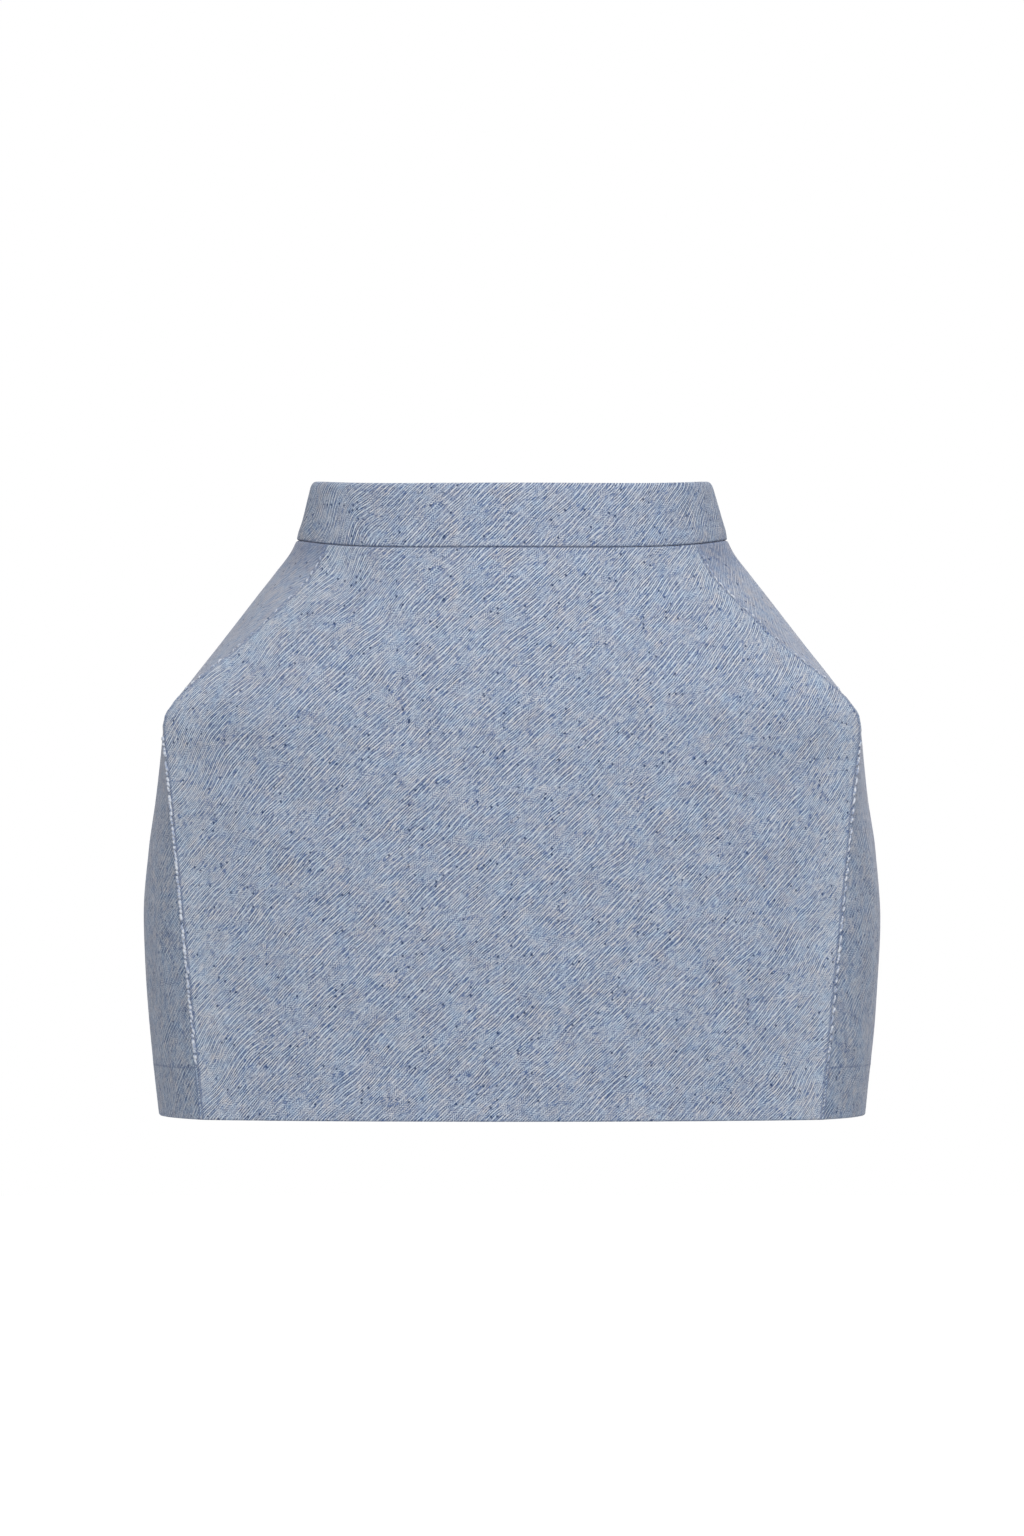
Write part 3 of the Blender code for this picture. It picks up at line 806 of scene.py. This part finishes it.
# %% The five pieces, their seams and their rows
Panel = namedtuple("Panel", "cut left right creases bends phase slack face")
front, back = broad_cut("front", 1), broad_cut("back", -1)
PANELS = {
    "front_cloth": Panel(front, -1, 1, FRONT_CREASES, FRONT_BENDS, 0.4, 1.0, knit_face),
    "side_cloth_left": Panel(side_cut(1), -1, 1, SIDE_CREASES, SIDE_BENDS, 1.9, 0.2, knit_gore),
    "side_cloth_right": Panel(side_cut(-1), -1, 1, SIDE_CREASES, SIDE_BENDS, 3.3, 0.2, knit_gore),
    "back_cloth_left": Panel(back, -1, 0, BACK_CREASES, FRONT_BENDS, 4.6, 1.0, knit_face),
    "back_cloth_right": Panel(back, 0, 1, BACK_CREASES, FRONT_BENDS, 5.2, 1.0, knit_face),
}
# Each seam joins the right edge of its first piece to the left edge of its second.
SEAMS = [
    ("side_cloth_right", "front_cloth"),
    ("front_cloth", "side_cloth_left"),
    ("side_cloth_left", "back_cloth_left"),
    ("back_cloth_right", "side_cloth_right"),
]
FOLD_DROP = HEM_DROP - HEM_TURN_UP
ABOVE_FOLD, BELOW_FOLD = np.array([0.0003, 0.0007, 0.0014]), np.array([0.0, 0.0004, 0.0010])

# The rows are crowded at the waist seam, at the top of the turned-up hem and at the hem.
upper = crowded(WAIST_DROP + SEAM_GAP / 2, FOLD_DROP, ROW_STEP, last=ABOVE_FOLD)
drops = np.concatenate([upper, crowded(FOLD_DROP, HEM_DROP, ROW_STEP, first=BELOW_FOLD)])
print(len(drops), "rows from the waist seam to the hem")

# %% Grids with mitred edges
LEVEL, UPRIGHT = (1, 1, 0), (0, 1, 1)


def laid_in(plane, normals):
    """The share of normals in a plane, lengthened so that the wall keeps its thickness."""
    flat = normals * plane
    return flat / np.maximum((flat**2).sum(-1, keepdims=True), 1e-9)


def body_grids():
    """Outer points, normals and distances to the side edges of all five pieces. Towards a seam the
    normals turn to the middle between both pieces' own, divided by its product with either, and
    towards the waist and the hem they turn level."""
    grids, mitres = {}, {}
    for name, panel in PANELS.items():
        points = panel.cut(drops[:, None], grid_across(panel.cut, drops, panel.left, panel.right))
        grids[name] = [points, outward(points), edge_distances(points)]
        mitres[name] = [None, None]
    for on_left, on_right in SEAMS:
        own, other = grids[on_left][1][:, -1], grids[on_right][1][:, 0]
        middle = unit(own + other)
        middle = middle / (middle * own).sum(-1, keepdims=True)
        mitres[on_left][1] = mitres[on_right][0] = middle
    for name, edge in (("back_cloth_left", -1), ("back_cloth_right", 0)):
        mitres[name][edge] = laid_in(UPRIGHT, grids[name][1][:, edge])
    down = drops - drops[0]
    for name, (points, normals, from_side) in grids.items():
        columns = points.shape[1]
        reach = np.clip(1 - from_side / MITRE_REACH, 0, 1)[..., None]
        left_half = (np.arange(columns) < columns // 2)[None, :, None]
        target = np.where(left_half, mitres[name][0][:, None], mitres[name][1][:, None])
        normals = normals * (1 - reach) + target * reach
        near_end = np.minimum(down, down[-1] - down)
        level = np.clip(1 - near_end / MITRE_REACH, 0, 1)[:, None, None]
        grids[name][1] = normals * (1 - level) + laid_in(LEVEL, normals) * level
    return grids


grids = body_grids()
for name, (points, *_) in grids.items():
    print(name, "has", points.shape[1], "columns")


# %% Laying a piece flat
def cut_map(points, centre_column):
    """The piece laid flat: across is the length along each row from the centre column, and up is
    minus the length down that column, plus how much higher or lower the point lies than it."""
    length = arc_lengths(points, 1)
    across = length - length[:, [centre_column]]
    down = arc_lengths(points[:, centre_column], 0)[:, None]
    up = points[..., 2] - points[:, [centre_column], 2] - down
    return np.stack([across, up], axis=-1)


# %% Making the body's cloth
FOLD_SLOPE = 0.0007
HELD_AT_SEAM, HELD_AT_WAIST, PUCKERS_FROM_WAIST = 0.014, 0.012, 0.004  # how far seams keep it flat
HEM_HIDES = 0.6  # the share of the allowance's step that the hem's second layer takes up
RIDGE_WAVE, RIDGE_WAVE_RATE, RIDGE_FADES = 0.3, 71, 0.010  # the rate in radians per metre


def body_cloth(name, points, normals, from_side):
    """One piece as a shell. Its outer face lies inside the cut by the hollow and the deepest of its
    turned edges, less the ridge. Its inner face lies inside by the hollow and the thickness (one
    layer, a second one below the hem's fold line, and the seam allowance), less the fold's
    rounding."""
    panel = PANELS[name]
    columns = points.shape[1]
    centre = {-1: columns - 1, 0: columns // 2, 1: 0}[panel.left + panel.right]
    flat = cut_map(points, centre)
    across, down = flat[..., 0], -flat[..., 1]
    from_top, from_hem = (drops - drops[0])[:, None], (HEM_DROP - drops)[:, None]
    held = ease(from_side / HELD_AT_SEAM) * ease(from_top / HELD_AT_WAIST)
    waves = panel.slack * uneven(across, down, panel.phase)
    hollow = held * (creased(panel.creases, across, down) + waves)
    hollow = hollow + puckers(from_side, down, panel.phase) * ease(from_top / PUCKERS_FROM_WAIST)
    folded = ease((drops - FOLD_DROP + FOLD_SLOPE) / FOLD_SLOPE)[:, None]
    left_half = np.arange(columns) < columns // 2
    zip_half = {"back_cloth_left": ~left_half, "back_cloth_right": left_half}.get(name, False)
    allowance = ease((ALLOWANCE_WIDTH - from_side) / ALLOWANCE_SLOPE) * (1 - HEM_HIDES * folded)
    allowance = np.where((drops < ZIP_BOTTOM_DROP)[:, None] & zip_half, 0.0, allowance)
    thickness = CLOTH * (1 + folded) + ALLOWANCE_STEP * allowance
    fold_round = turned(from_hem, HEM_FOLD_REACH, HEM_FOLD_DEPTH)
    outer_in = np.maximum(turned(from_side, SEAM_TURN), turned(from_top, SEAM_TURN))
    ridge = HEM_RIDGE * np.exp(-(((drops - FOLD_DROP)[:, None] / HEM_RIDGE_REACH) ** 2))
    ridge = ridge * (1 - RIDGE_WAVE + RIDGE_WAVE * np.sin(RIDGE_WAVE_RATE * across + panel.phase))
    ridge = ridge * ease(from_side / RIDGE_FADES)
    outer = points - normals * (hollow + np.maximum(outer_in, fold_round) - ridge)[..., None]
    inner = points - normals * (hollow + thickness - fold_round)[..., None]
    to_end = np.broadcast_to(np.where(from_hem < from_top, from_hem, -from_top), from_side.shape)
    maps = {"cut": bent(flat, panel.bends), "edges": np.stack([from_side, to_end], axis=-1)}
    piece = closed_shell(name, outer, inner, maps, panel.face, knit_back)
    return sewn_on(piece, name.replace("cloth", "panel"), slot="knit"), outer, inner


body = {name: body_cloth(name, *grid) for name, grid in grids.items()}
for piece, *_ in body.values():
    tell(piece)


# %% [markdown]
# ## Waistband
# One strip, folded double along its top edge and pressed flat, from one side of the zip round the
# front to the other. Its top edge is a soft roll rather than a corner, and its lower edge turns in
# at the waist seam.

# %% Making the waistband
ROLL_REACH, ROLL_DEPTH = 0.0040, 0.0022  # of the top edge, on the outside
ROLL_REACH_INSIDE, ROLL_DEPTH_INSIDE, LOWER_TURN_INSIDE = 0.0018, 0.0011, 0.0009
BAND_ROW_STEP, BAND_PHASE, BAND_SLACK, BAND_HELD = 0.0022, 2.7, 0.5, 0.010
NO_SIDE_SEAM = 0.06  # added to the distances, so that no seam line follows the zip


def waistband_cloth():
    """The band's grid, with its outer face rolled at the fold and turned at the other edges."""
    rows = crowded(TOP_DROP, WAIST_DROP - SEAM_GAP / 2, BAND_ROW_STEP)
    points = band_cut(rows[:, None], grid_across(band_cut, rows, -1, 1))
    normals, from_side = outward(points), edge_distances(points)
    reach = np.clip(1 - from_side / MITRE_REACH, 0, 1)[..., None]
    normals = laid_in(LEVEL, normals * (1 - reach) + laid_in(UPRIGHT, normals) * reach)
    below, above = (rows - rows[0])[:, None], (rows[-1] - rows)[:, None]
    flat = cut_map(points, points.shape[1] // 2)
    across, down = flat[..., 0], -flat[..., 1]
    hollow = creased(BAND_CREASES, across, down) + BAND_SLACK * uneven(across, down, BAND_PHASE)
    hollow = hollow * ease(above / BAND_HELD) * ease(from_side / BAND_HELD)
    outer_in = np.maximum(turned(from_side, SEAM_TURN), turned(above, SEAM_TURN))
    outer_in = np.maximum(outer_in, turned(below, ROLL_REACH, ROLL_DEPTH))
    inner_in = turned(below, ROLL_REACH_INSIDE, ROLL_DEPTH_INSIDE)
    inner_in = np.maximum(inner_in, turned(above, LOWER_TURN_INSIDE))
    outer = points - normals * (hollow + outer_in)[..., None]
    inner = points - normals * (hollow + BAND_WALL - inner_in)[..., None]
    edges = np.stack([from_side + NO_SIDE_SEAM, np.broadcast_to(-above, from_side.shape)], axis=-1)
    maps = {"cut": bent(flat, BAND_BENDS), "edges": edges}
    piece = closed_shell("waistband_cloth", outer, inner, maps, knit_face, knit_back)
    return sewn_on(piece, "waistband", slot="knit"), outer, inner


waistband, band_outer, band_inner = waistband_cloth()
tell(waistband)


# %% [markdown]
# ## Stitches along the front and back seams
# Off-white thread shows in every seam between a gore and the front or back. From the hip corner to
# the top of the turned-up hem its slanting stitches lie close on every second seam and wide on the
# others, and on the slope above the corner they are short and thin. One stitch is a short tube,
# thin where it dives into the cloth. Hundreds of them are worked out at once as arrays: the middle
# line of every stitch, then a ring of points round each place on it, then one list of faces with
# offsets.

# %% Many small tubes in one mesh
UP = np.array([[0.0, 0.0, 1.0]])


def many_tubes(name, lines, radii, sides, finish, up=UP):
    """Closed tubes along lines (tube, place, xyz). Each ring is a circle square to the line, and
    the first and last places are single points, so every tube is closed."""
    tubes, places = lines.shape[:2]
    ahead = unit(np.gradient(lines, axis=1))
    across = unit(np.cross(ahead, np.broadcast_to(up[:, None], lines.shape)))
    above = unit(np.cross(across, ahead))
    turn = np.linspace(0, 2 * math.pi, sides, endpoint=False)[:, None]
    ring = np.cos(turn) * across[:, :, None] + np.sin(turn) * above[:, :, None]
    rings = (lines[:, :, None] + radii[:, :, None, None] * ring)[:, 1:-1].reshape(tubes, -1, 3)
    points = np.concatenate([lines[:, :1], rings, lines[:, -1:]], axis=1)
    count = points.shape[1]
    start = 1 + np.arange(places - 3)[:, None] * sides
    this, following = np.arange(sides), (np.arange(sides) + 1) % sides
    quads = [start + this, start + following, start + sides + following, start + sides + this]
    last = 1 + (places - 3) * sides
    first_cap = np.stack([np.zeros(sides, int), 1 + following, 1 + this], -1)
    last_cap = np.stack([np.full(sides, count - 1), last + this, last + following], -1)
    offset = (np.arange(tubes) * count)[:, None, None]
    faces = []
    for part in (np.stack(quads, -1).reshape(-1, 4), first_cap, last_cap):
        faces += (part + offset).reshape(-1, part.shape[1]).tolist()
    return new_piece(name, points, faces, finish)


def sewn_threads(name, sets, sides):
    """One piece from several sets of threads, each with its middle lines, radii and ways out."""
    lines, radii, outs = (np.concatenate(part) for part in zip(*sets))
    piece = many_tubes(name, lines, radii, sides, thread, up=outs)
    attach(piece, "skirt")
    print(name, [len(part[0]) for part in sets])


# %% Thread
def cloud(tree, scale, detail):
    """Random values around 0.5 in space, so many to the metre."""
    place = output("TexCoord", key="Object", tree=tree)
    return output("TexNoise", {"Vector": place, "Scale": scale, "Detail": detail})


def spun_thread(tree):
    """Off-white thread, a little uneven, with fine plies as bump."""
    patches, plies = cloud(tree, 560.0, 1.0), cloud(tree, 2600.0, 1.0)
    share = ramped(patches, 0.35, 0.65)
    return {
        "Base Color": mixed(share, screen(140, 152, 176), screen(200, 205, 213)),
        "Roughness": ramped(plies, 0.3, 0.7, 0.6, 0.8),
        "Normal": bumped(plies, 0.5, 0.00008),
    }


thread = new_finish("off_white_thread", spun_thread)

# %% Seam stitches
Stitch = namedtuple("Stitch", "drops pitch length swing radius crown sink kept")
RIDGE_DROPS = (0.1395, 0.3430)  # from the hip corner to the top of the turned-up hem
SLOPE_DROPS = (0.0230, 0.1120)
CLOSE = Stitch(RIDGE_DROPS, 0.0031, 0.0044, 0.00055, 0.00104, 0.00005, 0.00055, 0.93)
WIDE = Stitch(RIDGE_DROPS, 0.0062, 0.0056, 0.00075, 0.00086, 0.00005, 0.00055, 0.93)
SHORT = Stitch(SLOPE_DROPS, 0.0053, 0.0046, 0.00070, 0.00068, 0.00022, 0.00060, 0.75)
THREAD_ASIDE, THREAD_SCATTER = 0.00030, 0.00024  # towards the gore, and either way
JITTER = 0.16  # of a thread's place, in pitches
VARY_LOW, VARY_HIGH = (0.60, 0.78, 0.78), (1.40, 1.18, 1.18)  # of its length, swing and radius
THIN_END = 0.42  # of its radius
PLACES = 8
dice = np.random.default_rng(11)


def threads_along(seam, panel_side, stitch):
    """Middle lines, radii and ways out of short threads on one seam, whose panel is at its right,
    1, or left, -1. A thread starts beside the gore and swings to the panel at its lower end, and
    its height follows half a sine wave."""
    points, normals, _ = grids[seam[0]]
    line, out = points[:, -1], unit(normals[:, -1])
    panel = panel_side * unit(np.cross(out, unit(np.gradient(line, axis=0))))
    run = arc_lengths(line, 0)
    first, last = np.interp(stitch.drops, drops, run)
    count = int((last - first) / stitch.pitch)
    at = first + (np.arange(count) + 0.5 + dice.uniform(-JITTER, JITTER, count)) * stitch.pitch
    vary = dice.uniform(VARY_LOW, VARY_HIGH, (count, 3)).T[..., None]
    share = np.linspace(0, 1, PLACES)[None, :]
    reach = at[:, None] + (share - 0.5) * stitch.length * vary[0]
    middle, outwards, to_panel = (read_along(run, part, reach) for part in (line, out, panel))
    aside = stitch.swing * vary[1] * (2 * share**1.4 - 1.1) - THREAD_ASIDE
    aside = aside + THREAD_SCATTER * dice.standard_normal((count, 1))
    height = -stitch.sink + (stitch.crown + stitch.sink) * np.sin(math.pi * share)
    lines = middle + outwards * height[..., None] + to_panel * aside[..., None]
    roundness = np.sin(math.pi * np.clip(share, 0.02, 0.98)) ** 0.7
    radii = stitch.radius * vary[2] * (THIN_END + (1 - THIN_END) * roundness)
    keep = dice.uniform(size=count) < stitch.kept
    return lines[keep], radii[keep], outwards[keep].mean(1)


thread_sets = []
for seam, (panel_side, ridge) in zip(SEAMS, 2 * [(1, CLOSE), (-1, WIDE)]):
    thread_sets += [threads_along(seam, panel_side, stitch) for stitch in (ridge, SHORT)]
sewn_threads("seam_stitches", thread_sets, 8)

# %% [markdown]
# ## The zip
# A concealed zip shows only its pull from outside. Inside there are two woven tapes, and down their
# meeting edges a fine coil, which is one spiral a side. The slider and its pull are hard, already
# have their shape in the frame, and only get their lacquer here.

# %% Tapes
TAPE_WIDTH, TAPE_WALL = 0.0095, 0.0008
WARP_SPACING, WEFT_SPACING = 0.00062, 0.00048
ZIP_TOP_BELOW_EDGE, TAPE_BELOW_SEAM, TAPE_PAST_ZIP = 0.0040, 0.0020, 0.0060
SEAM_ROWS = 6  # rows of the band that turn into the waist seam


def woven_tape(tree):
    """Warp lines across the tape and weft lines along it, as two waves in metres of the tape."""
    cut = output("UVMap", tree=tree, uv_map="cut")
    across, along, _ = outputs("SeparateXYZ", (cut,)).values()
    warp = calc("SINE", across * (2 * math.pi / WARP_SPACING))
    weft = calc("SINE", along * (2 * math.pi / WEFT_SPACING))
    weave = warp * weft * 0.25 + 0.5
    dye = output("TexNoise", {"Vector": cut, "Scale": 700.0, "Detail": 2.0})
    share = ramped(weave * 0.6 + dye * 0.5, 0.2, 0.8)
    return {
        "Base Color": mixed(share, screen(112, 127, 158), screen(150, 163, 188)),
        "Roughness": ramped(dye, 0.3, 0.7, 0.66, 0.8),
        "Normal": bumped(weave, 0.6, 0.00012),
    }


tape_weave = new_finish("zip_tape_weave", woven_tape)


def beside_zip(inner, inwards):
    """The strip of a piece's inner face beside the centre back: its crowded columns there, and one
    more in line with the last two, which makes it TAPE_WIDTH wide."""
    strip = inner[:, ::inwards][:, : len(EDGE_LINES)]
    further = (TAPE_WIDTH - EDGE_LINES[-1]) / (EDGE_LINES[-1] - EDGE_LINES[-2])
    last = strip[:, -1:] + (strip[:, -1:] - strip[:, -2:-1]) * further
    return np.concatenate([strip, last], axis=1)


def zip_tape(side_name, inwards):
    """One tape: the inner faces of the band and the back beside the zip, moved in by a seam's gap.
    The columns run away from the zip, so for the left tape they are turned round to face
    outwards."""
    band_rows = np.flatnonzero(arc_lengths(band_inner[:, 0], 0) > ZIP_TOP_BELOW_EDGE)[:-SEAM_ROWS]
    below, above = drops > drops[0] + TAPE_BELOW_SEAM, drops < ZIP_BOTTOM_DROP + TAPE_PAST_ZIP
    back_rows = np.flatnonzero(below & above)
    back_inner = body["back_cloth_" + side_name][2]
    walls = (band_inner[band_rows], back_inner[back_rows])
    face = np.concatenate([beside_zip(wall, inwards) for wall in walls])[:, ::inwards]
    normals = outward(face)
    outer, inner = face - normals * SEAM_GAP, face - normals * (SEAM_GAP + TAPE_WALL)
    across = np.append(EDGE_LINES, TAPE_WIDTH)[::inwards]
    length = arc_lengths(face[:, len(across) // 2], 0)[:, None]
    flat = np.stack(np.broadcast_arrays(across[None], -length), axis=-1)
    name, maps = "woven_tape_" + side_name, {"cut": flat}
    piece = closed_shell(name, outer, inner, maps, tape_weave, tape_weave)
    return sewn_on(piece, "zip_tape_" + side_name, slot="zip_tape"), inner[:, ::inwards]


tape_right, right_face = zip_tape("right", 1)
tape_left, left_face = zip_tape("left", -1)
tell(tape_right)
tell(tape_left)


# %% [markdown]
# ## Coil and hem stitches
# The coil's loops cross the line where the tapes meet, alternately from the left and from the
# right, and end below the slider, which has closed them. Inside the hem a herringbone thread runs
# up and down over the raw edge of the turned-up cloth. Both are again many small tubes, so the
# helper serves them.

# %% The coil
COIL_PITCH, COIL_RADIUS, COIL_HEIGHT = 0.0014, 0.00030, 0.0009
COIL_FOOT, COIL_NOSE = 0.0021, 0.0008  # how far a loop reaches on its own side, and past the middle
BELOW_SLIDER = 0.0010


def nylon(tree):
    """Blue nylon, smooth and a little glossy, with the milky streaks of drawn plastic."""
    streaks = cloud(tree, 900.0, 1.0)
    share = ramped(streaks, 0.3, 0.7)
    return {
        "Base Color": mixed(share, screen(118, 134, 166), screen(152, 166, 190)),
        "Roughness": ramped(streaks, 0.3, 0.7, 0.32, 0.46),
    }


def zip_coil():
    """Each loop is an arch: it runs square across the zip, and its height is half a sine wave."""
    middle = (right_face[:, 0] + left_face[:, 0]) / 2
    to_left = unit(left_face[:, -1] - right_face[:, -1])
    inwards = unit(np.cross(np.gradient(middle, axis=0), to_left))
    run = arc_lengths(middle, 0)
    slider_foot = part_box("zip_slider")[0][2] - BELOW_SLIDER
    start = np.interp(-slider_foot, -middle[:, 2], run)
    marks = np.arange(start, run[-1] - TAPE_WIDTH, COIL_PITCH / 2)
    side = np.where(np.arange(len(marks)) % 2, 1.0, -1.0)[:, None]
    share = np.linspace(0, 1, PLACES)[None]
    aside = side * (COIL_FOOT - (COIL_FOOT + COIL_NOSE) * share)
    height = COIL_RADIUS / 2 + COIL_HEIGHT * np.sin(math.pi * share)
    at, left, inner = (read_along(run, part, marks)[:, None] for part in (middle, to_left, inwards))
    lines = at + left * aside[..., None] + inner * height[..., None]
    radii = np.full(lines.shape[:2], COIL_RADIUS)
    coil = many_tubes("zip_coil", lines, radii, 6, new_finish("blue_nylon", nylon))
    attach(coil, "skirt")
    tell(coil)


zip_coil()

# %% Herringbone inside the hem
CATCH_STEP, CATCH_RADIUS = 0.0026, 0.00022
CATCH_ABOVE, CATCH_BELOW, CATCH_EDGE = 0.0022, 0.0026, 0.0120
CATCH_ARCH = 2.2  # how high the middle rises over the ends, in radii


def catch_threads(outer, inner):
    """Threads from a row of the hem to a row of the wall above it and back, with both ends sunk in
    by their radius."""
    places = (CATCH_BELOW, -CATCH_ABOVE)
    low, high = (np.abs(drops - FOLD_DROP - below).argmin() for below in places)
    run = arc_lengths(inner[[low]], 1)[0]
    marks = np.arange(CATCH_EDGE, run[-1] - CATCH_EDGE, CATCH_STEP)
    at_low, at_high = (read_along(run, inner[row], marks) for row in (low, high))
    odd = (np.arange(len(marks)) % 2 == 1)[:, None]
    ends = np.where(odd, at_low, at_high)
    share = np.linspace(0, 1, PLACES)[None, :, None]
    inwards = unit(read_along(run, inner[low] - outer[low], marks))[:-1]
    bulge = CATCH_RADIUS * (CATCH_ARCH * np.sin(math.pi * share) - 1)
    lines = ends[:-1, None] * (1 - share) + ends[1:, None] * share + inwards[:, None] * bulge
    return lines, np.full(lines.shape[:2], CATCH_RADIUS), inwards


sewn_threads("hem_stitches", [catch_threads(outer, inner) for _, outer, inner in body.values()], 6)


# %% Lacquered zip metal
def zip_lacquer(tree):
    """Blue-grey lacquer over metal, cloudy, and rubbed paler in scuffs."""
    clouds, scuffs = cloud(tree, 900.0, 3.0), cloud(tree, 2600.0, 2.0)
    base = mixed(ramped(clouds, 0.3, 0.7), screen(134, 148, 176), screen(150, 163, 188))
    return {
        "Base Color": mixed(ramped(scuffs, 0.62, 0.72, 0.0, 0.5), base, screen(186, 192, 202)),
        "Roughness": ramped(clouds, 0.3, 0.7, 0.28, 0.42),
        "Normal": bumped(scuffs, 0.15, 0.00005),
        "Metallic": 0.35,
        "Coat Weight": 0.4,
        "Coat Roughness": 0.15,
    }


lacquer = new_finish("zip_lacquer", zip_lacquer)
for name in ("zip_slider", "zip_pull"):
    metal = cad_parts[name]
    for place in metal.material_slots:
        place.material = lacquer
    tell(metal)

# %% [markdown]
# ## The cloth's cut sizes
# Every piece's size as it was cut is printed: its finished size, with 10 mm of seam allowance on
# the sewn sides and 32 mm for the hem.

# %% Flat cuts
SEAM_ALLOWANCE = 0.010


def declare(piece, outer, extra_down, extra_area_down, hangs_from=()):
    """The cut is the finished piece with allowances: its width and length, and its area."""
    across = arc_lengths(outer, 1)[:, -1]
    run_down = arc_lengths(outer[:, outer.shape[1] // 2], 0)
    width, length = across.max() + 2 * SEAM_ALLOWANCE, run_down[-1] + extra_down
    area = ((across[1:] + across[:-1]) / 2 * np.diff(run_down)).sum()
    area += 2 * SEAM_ALLOWANCE * run_down[-1]
    area += (across[[0, -1]] + 2 * SEAM_ALLOWANCE) @ np.array(extra_area_down)
    print(piece.name, f"cut {width * 1000:.0f} x {length * 1000:.0f} mm, {area * 1e4:.0f} cm2")


hem_allowances = (SEAM_ALLOWANCE + HEM_TURN_UP, (SEAM_ALLOWANCE, HEM_TURN_UP))
for piece, outer, _ in body.values():
    declare(piece, outer, *hem_allowances, ["waistband_cloth"])
declare(waistband, band_outer, SEAM_ALLOWANCE, (0.0, SEAM_ALLOWANCE))

# %% [markdown]
# ## Camera and light
# The skirt is seen level and from straight in front, from far away through a long lens, so that its
# sides hardly converge. Soft light comes from all round. The large front lamp is nearly straight
# ahead, the key lamp is high and a little to the right, and a weaker one lights the back, so the
# front is the palest and the gores fall off. The floor is far below.

# %% Camera
EYE_DISTANCE, EYE_HEIGHT = 6.0, -0.15875
lens = bpy.data.cameras.new("long lens")
lens.lens, lens.sensor_width = 225, 36
lens.clip_end = 100
camera = new_object("camera", lens)
camera.location = (0, -EYE_DISTANCE, EYE_HEIGHT)
camera.rotation_euler = (math.pi / 2, 0, 0)
bpy.context.scene.camera = camera

# %% Light
bpy.context.scene.view_settings.view_transform = "Standard"
ROOM_LIGHT = 0.50
SKIRT_MIDDLE = Vector((0, 0, -0.18))
world = bpy.data.worlds.new("white room")
world.use_nodes = True
bpy.context.scene.world = world
room = world.node_tree.nodes["Background"]
room.inputs["Color"].default_value = (1, 1, 1, 1)
seen = output("LightPath", key="Is Camera Ray", tree=world.node_tree)
feed(room.inputs["Strength"], seen * (1 - ROOM_LIGHT) + ROOM_LIGHT)


def soft_lamp(name, turn, rise, distance, size, watts):
    """A square area lamp that faces the middle of the skirt, turned to its side by one angle and
    raised by another, in degrees."""
    turn, rise = math.radians(turn), math.radians(rise)
    level = math.cos(rise)
    away = Vector((level * math.sin(turn), -level * math.cos(turn), math.sin(rise)))
    lamp = bpy.data.lights.new(name, "AREA")
    lamp.size, lamp.energy = size, watts
    made = new_object(name, lamp)
    made.location = SKIRT_MIDDLE + distance * away
    made.rotation_euler = away.to_track_quat("Z", "Y").to_euler()


soft_lamp("key", turn=14, rise=62, distance=2.3, size=1.3, watts=27.5)
soft_lamp("front", turn=3, rise=10, distance=3.6, size=1.8, watts=46)
soft_lamp("back", turn=168, rise=28, distance=3.6, size=1.8, watts=26)

# %% Floor
FLOOR_HEIGHT, FLOOR_RADIUS = -1.05, 14.0


def pale_paint(tree):
    """Flat pale paint that glows a little for the eye only, so that it is lost in the white
    room."""
    seen = output("LightPath", key="Is Camera Ray", tree=tree)
    return {
        "Base Color": (0.7, 0.7, 0.7, 1),
        "Roughness": 0.9,
        "Emission Color": (1, 1, 1, 1),
        "Emission Strength": seen * 0.8,
    }


floor_mesh = bpy.data.meshes.new("floor")
shape = bmesh.new()
bmesh.ops.create_circle(shape, cap_ends=True, segments=128, radius=FLOOR_RADIUS)
bmesh.ops.translate(shape, verts=shape.verts, vec=(0, 0, FLOOR_HEIGHT))
shape.to_mesh(floor_mesh)
shape.free()
floor_mesh.materials.append(new_finish("pale floor", pale_paint))
floor = new_object("floor", floor_mesh)
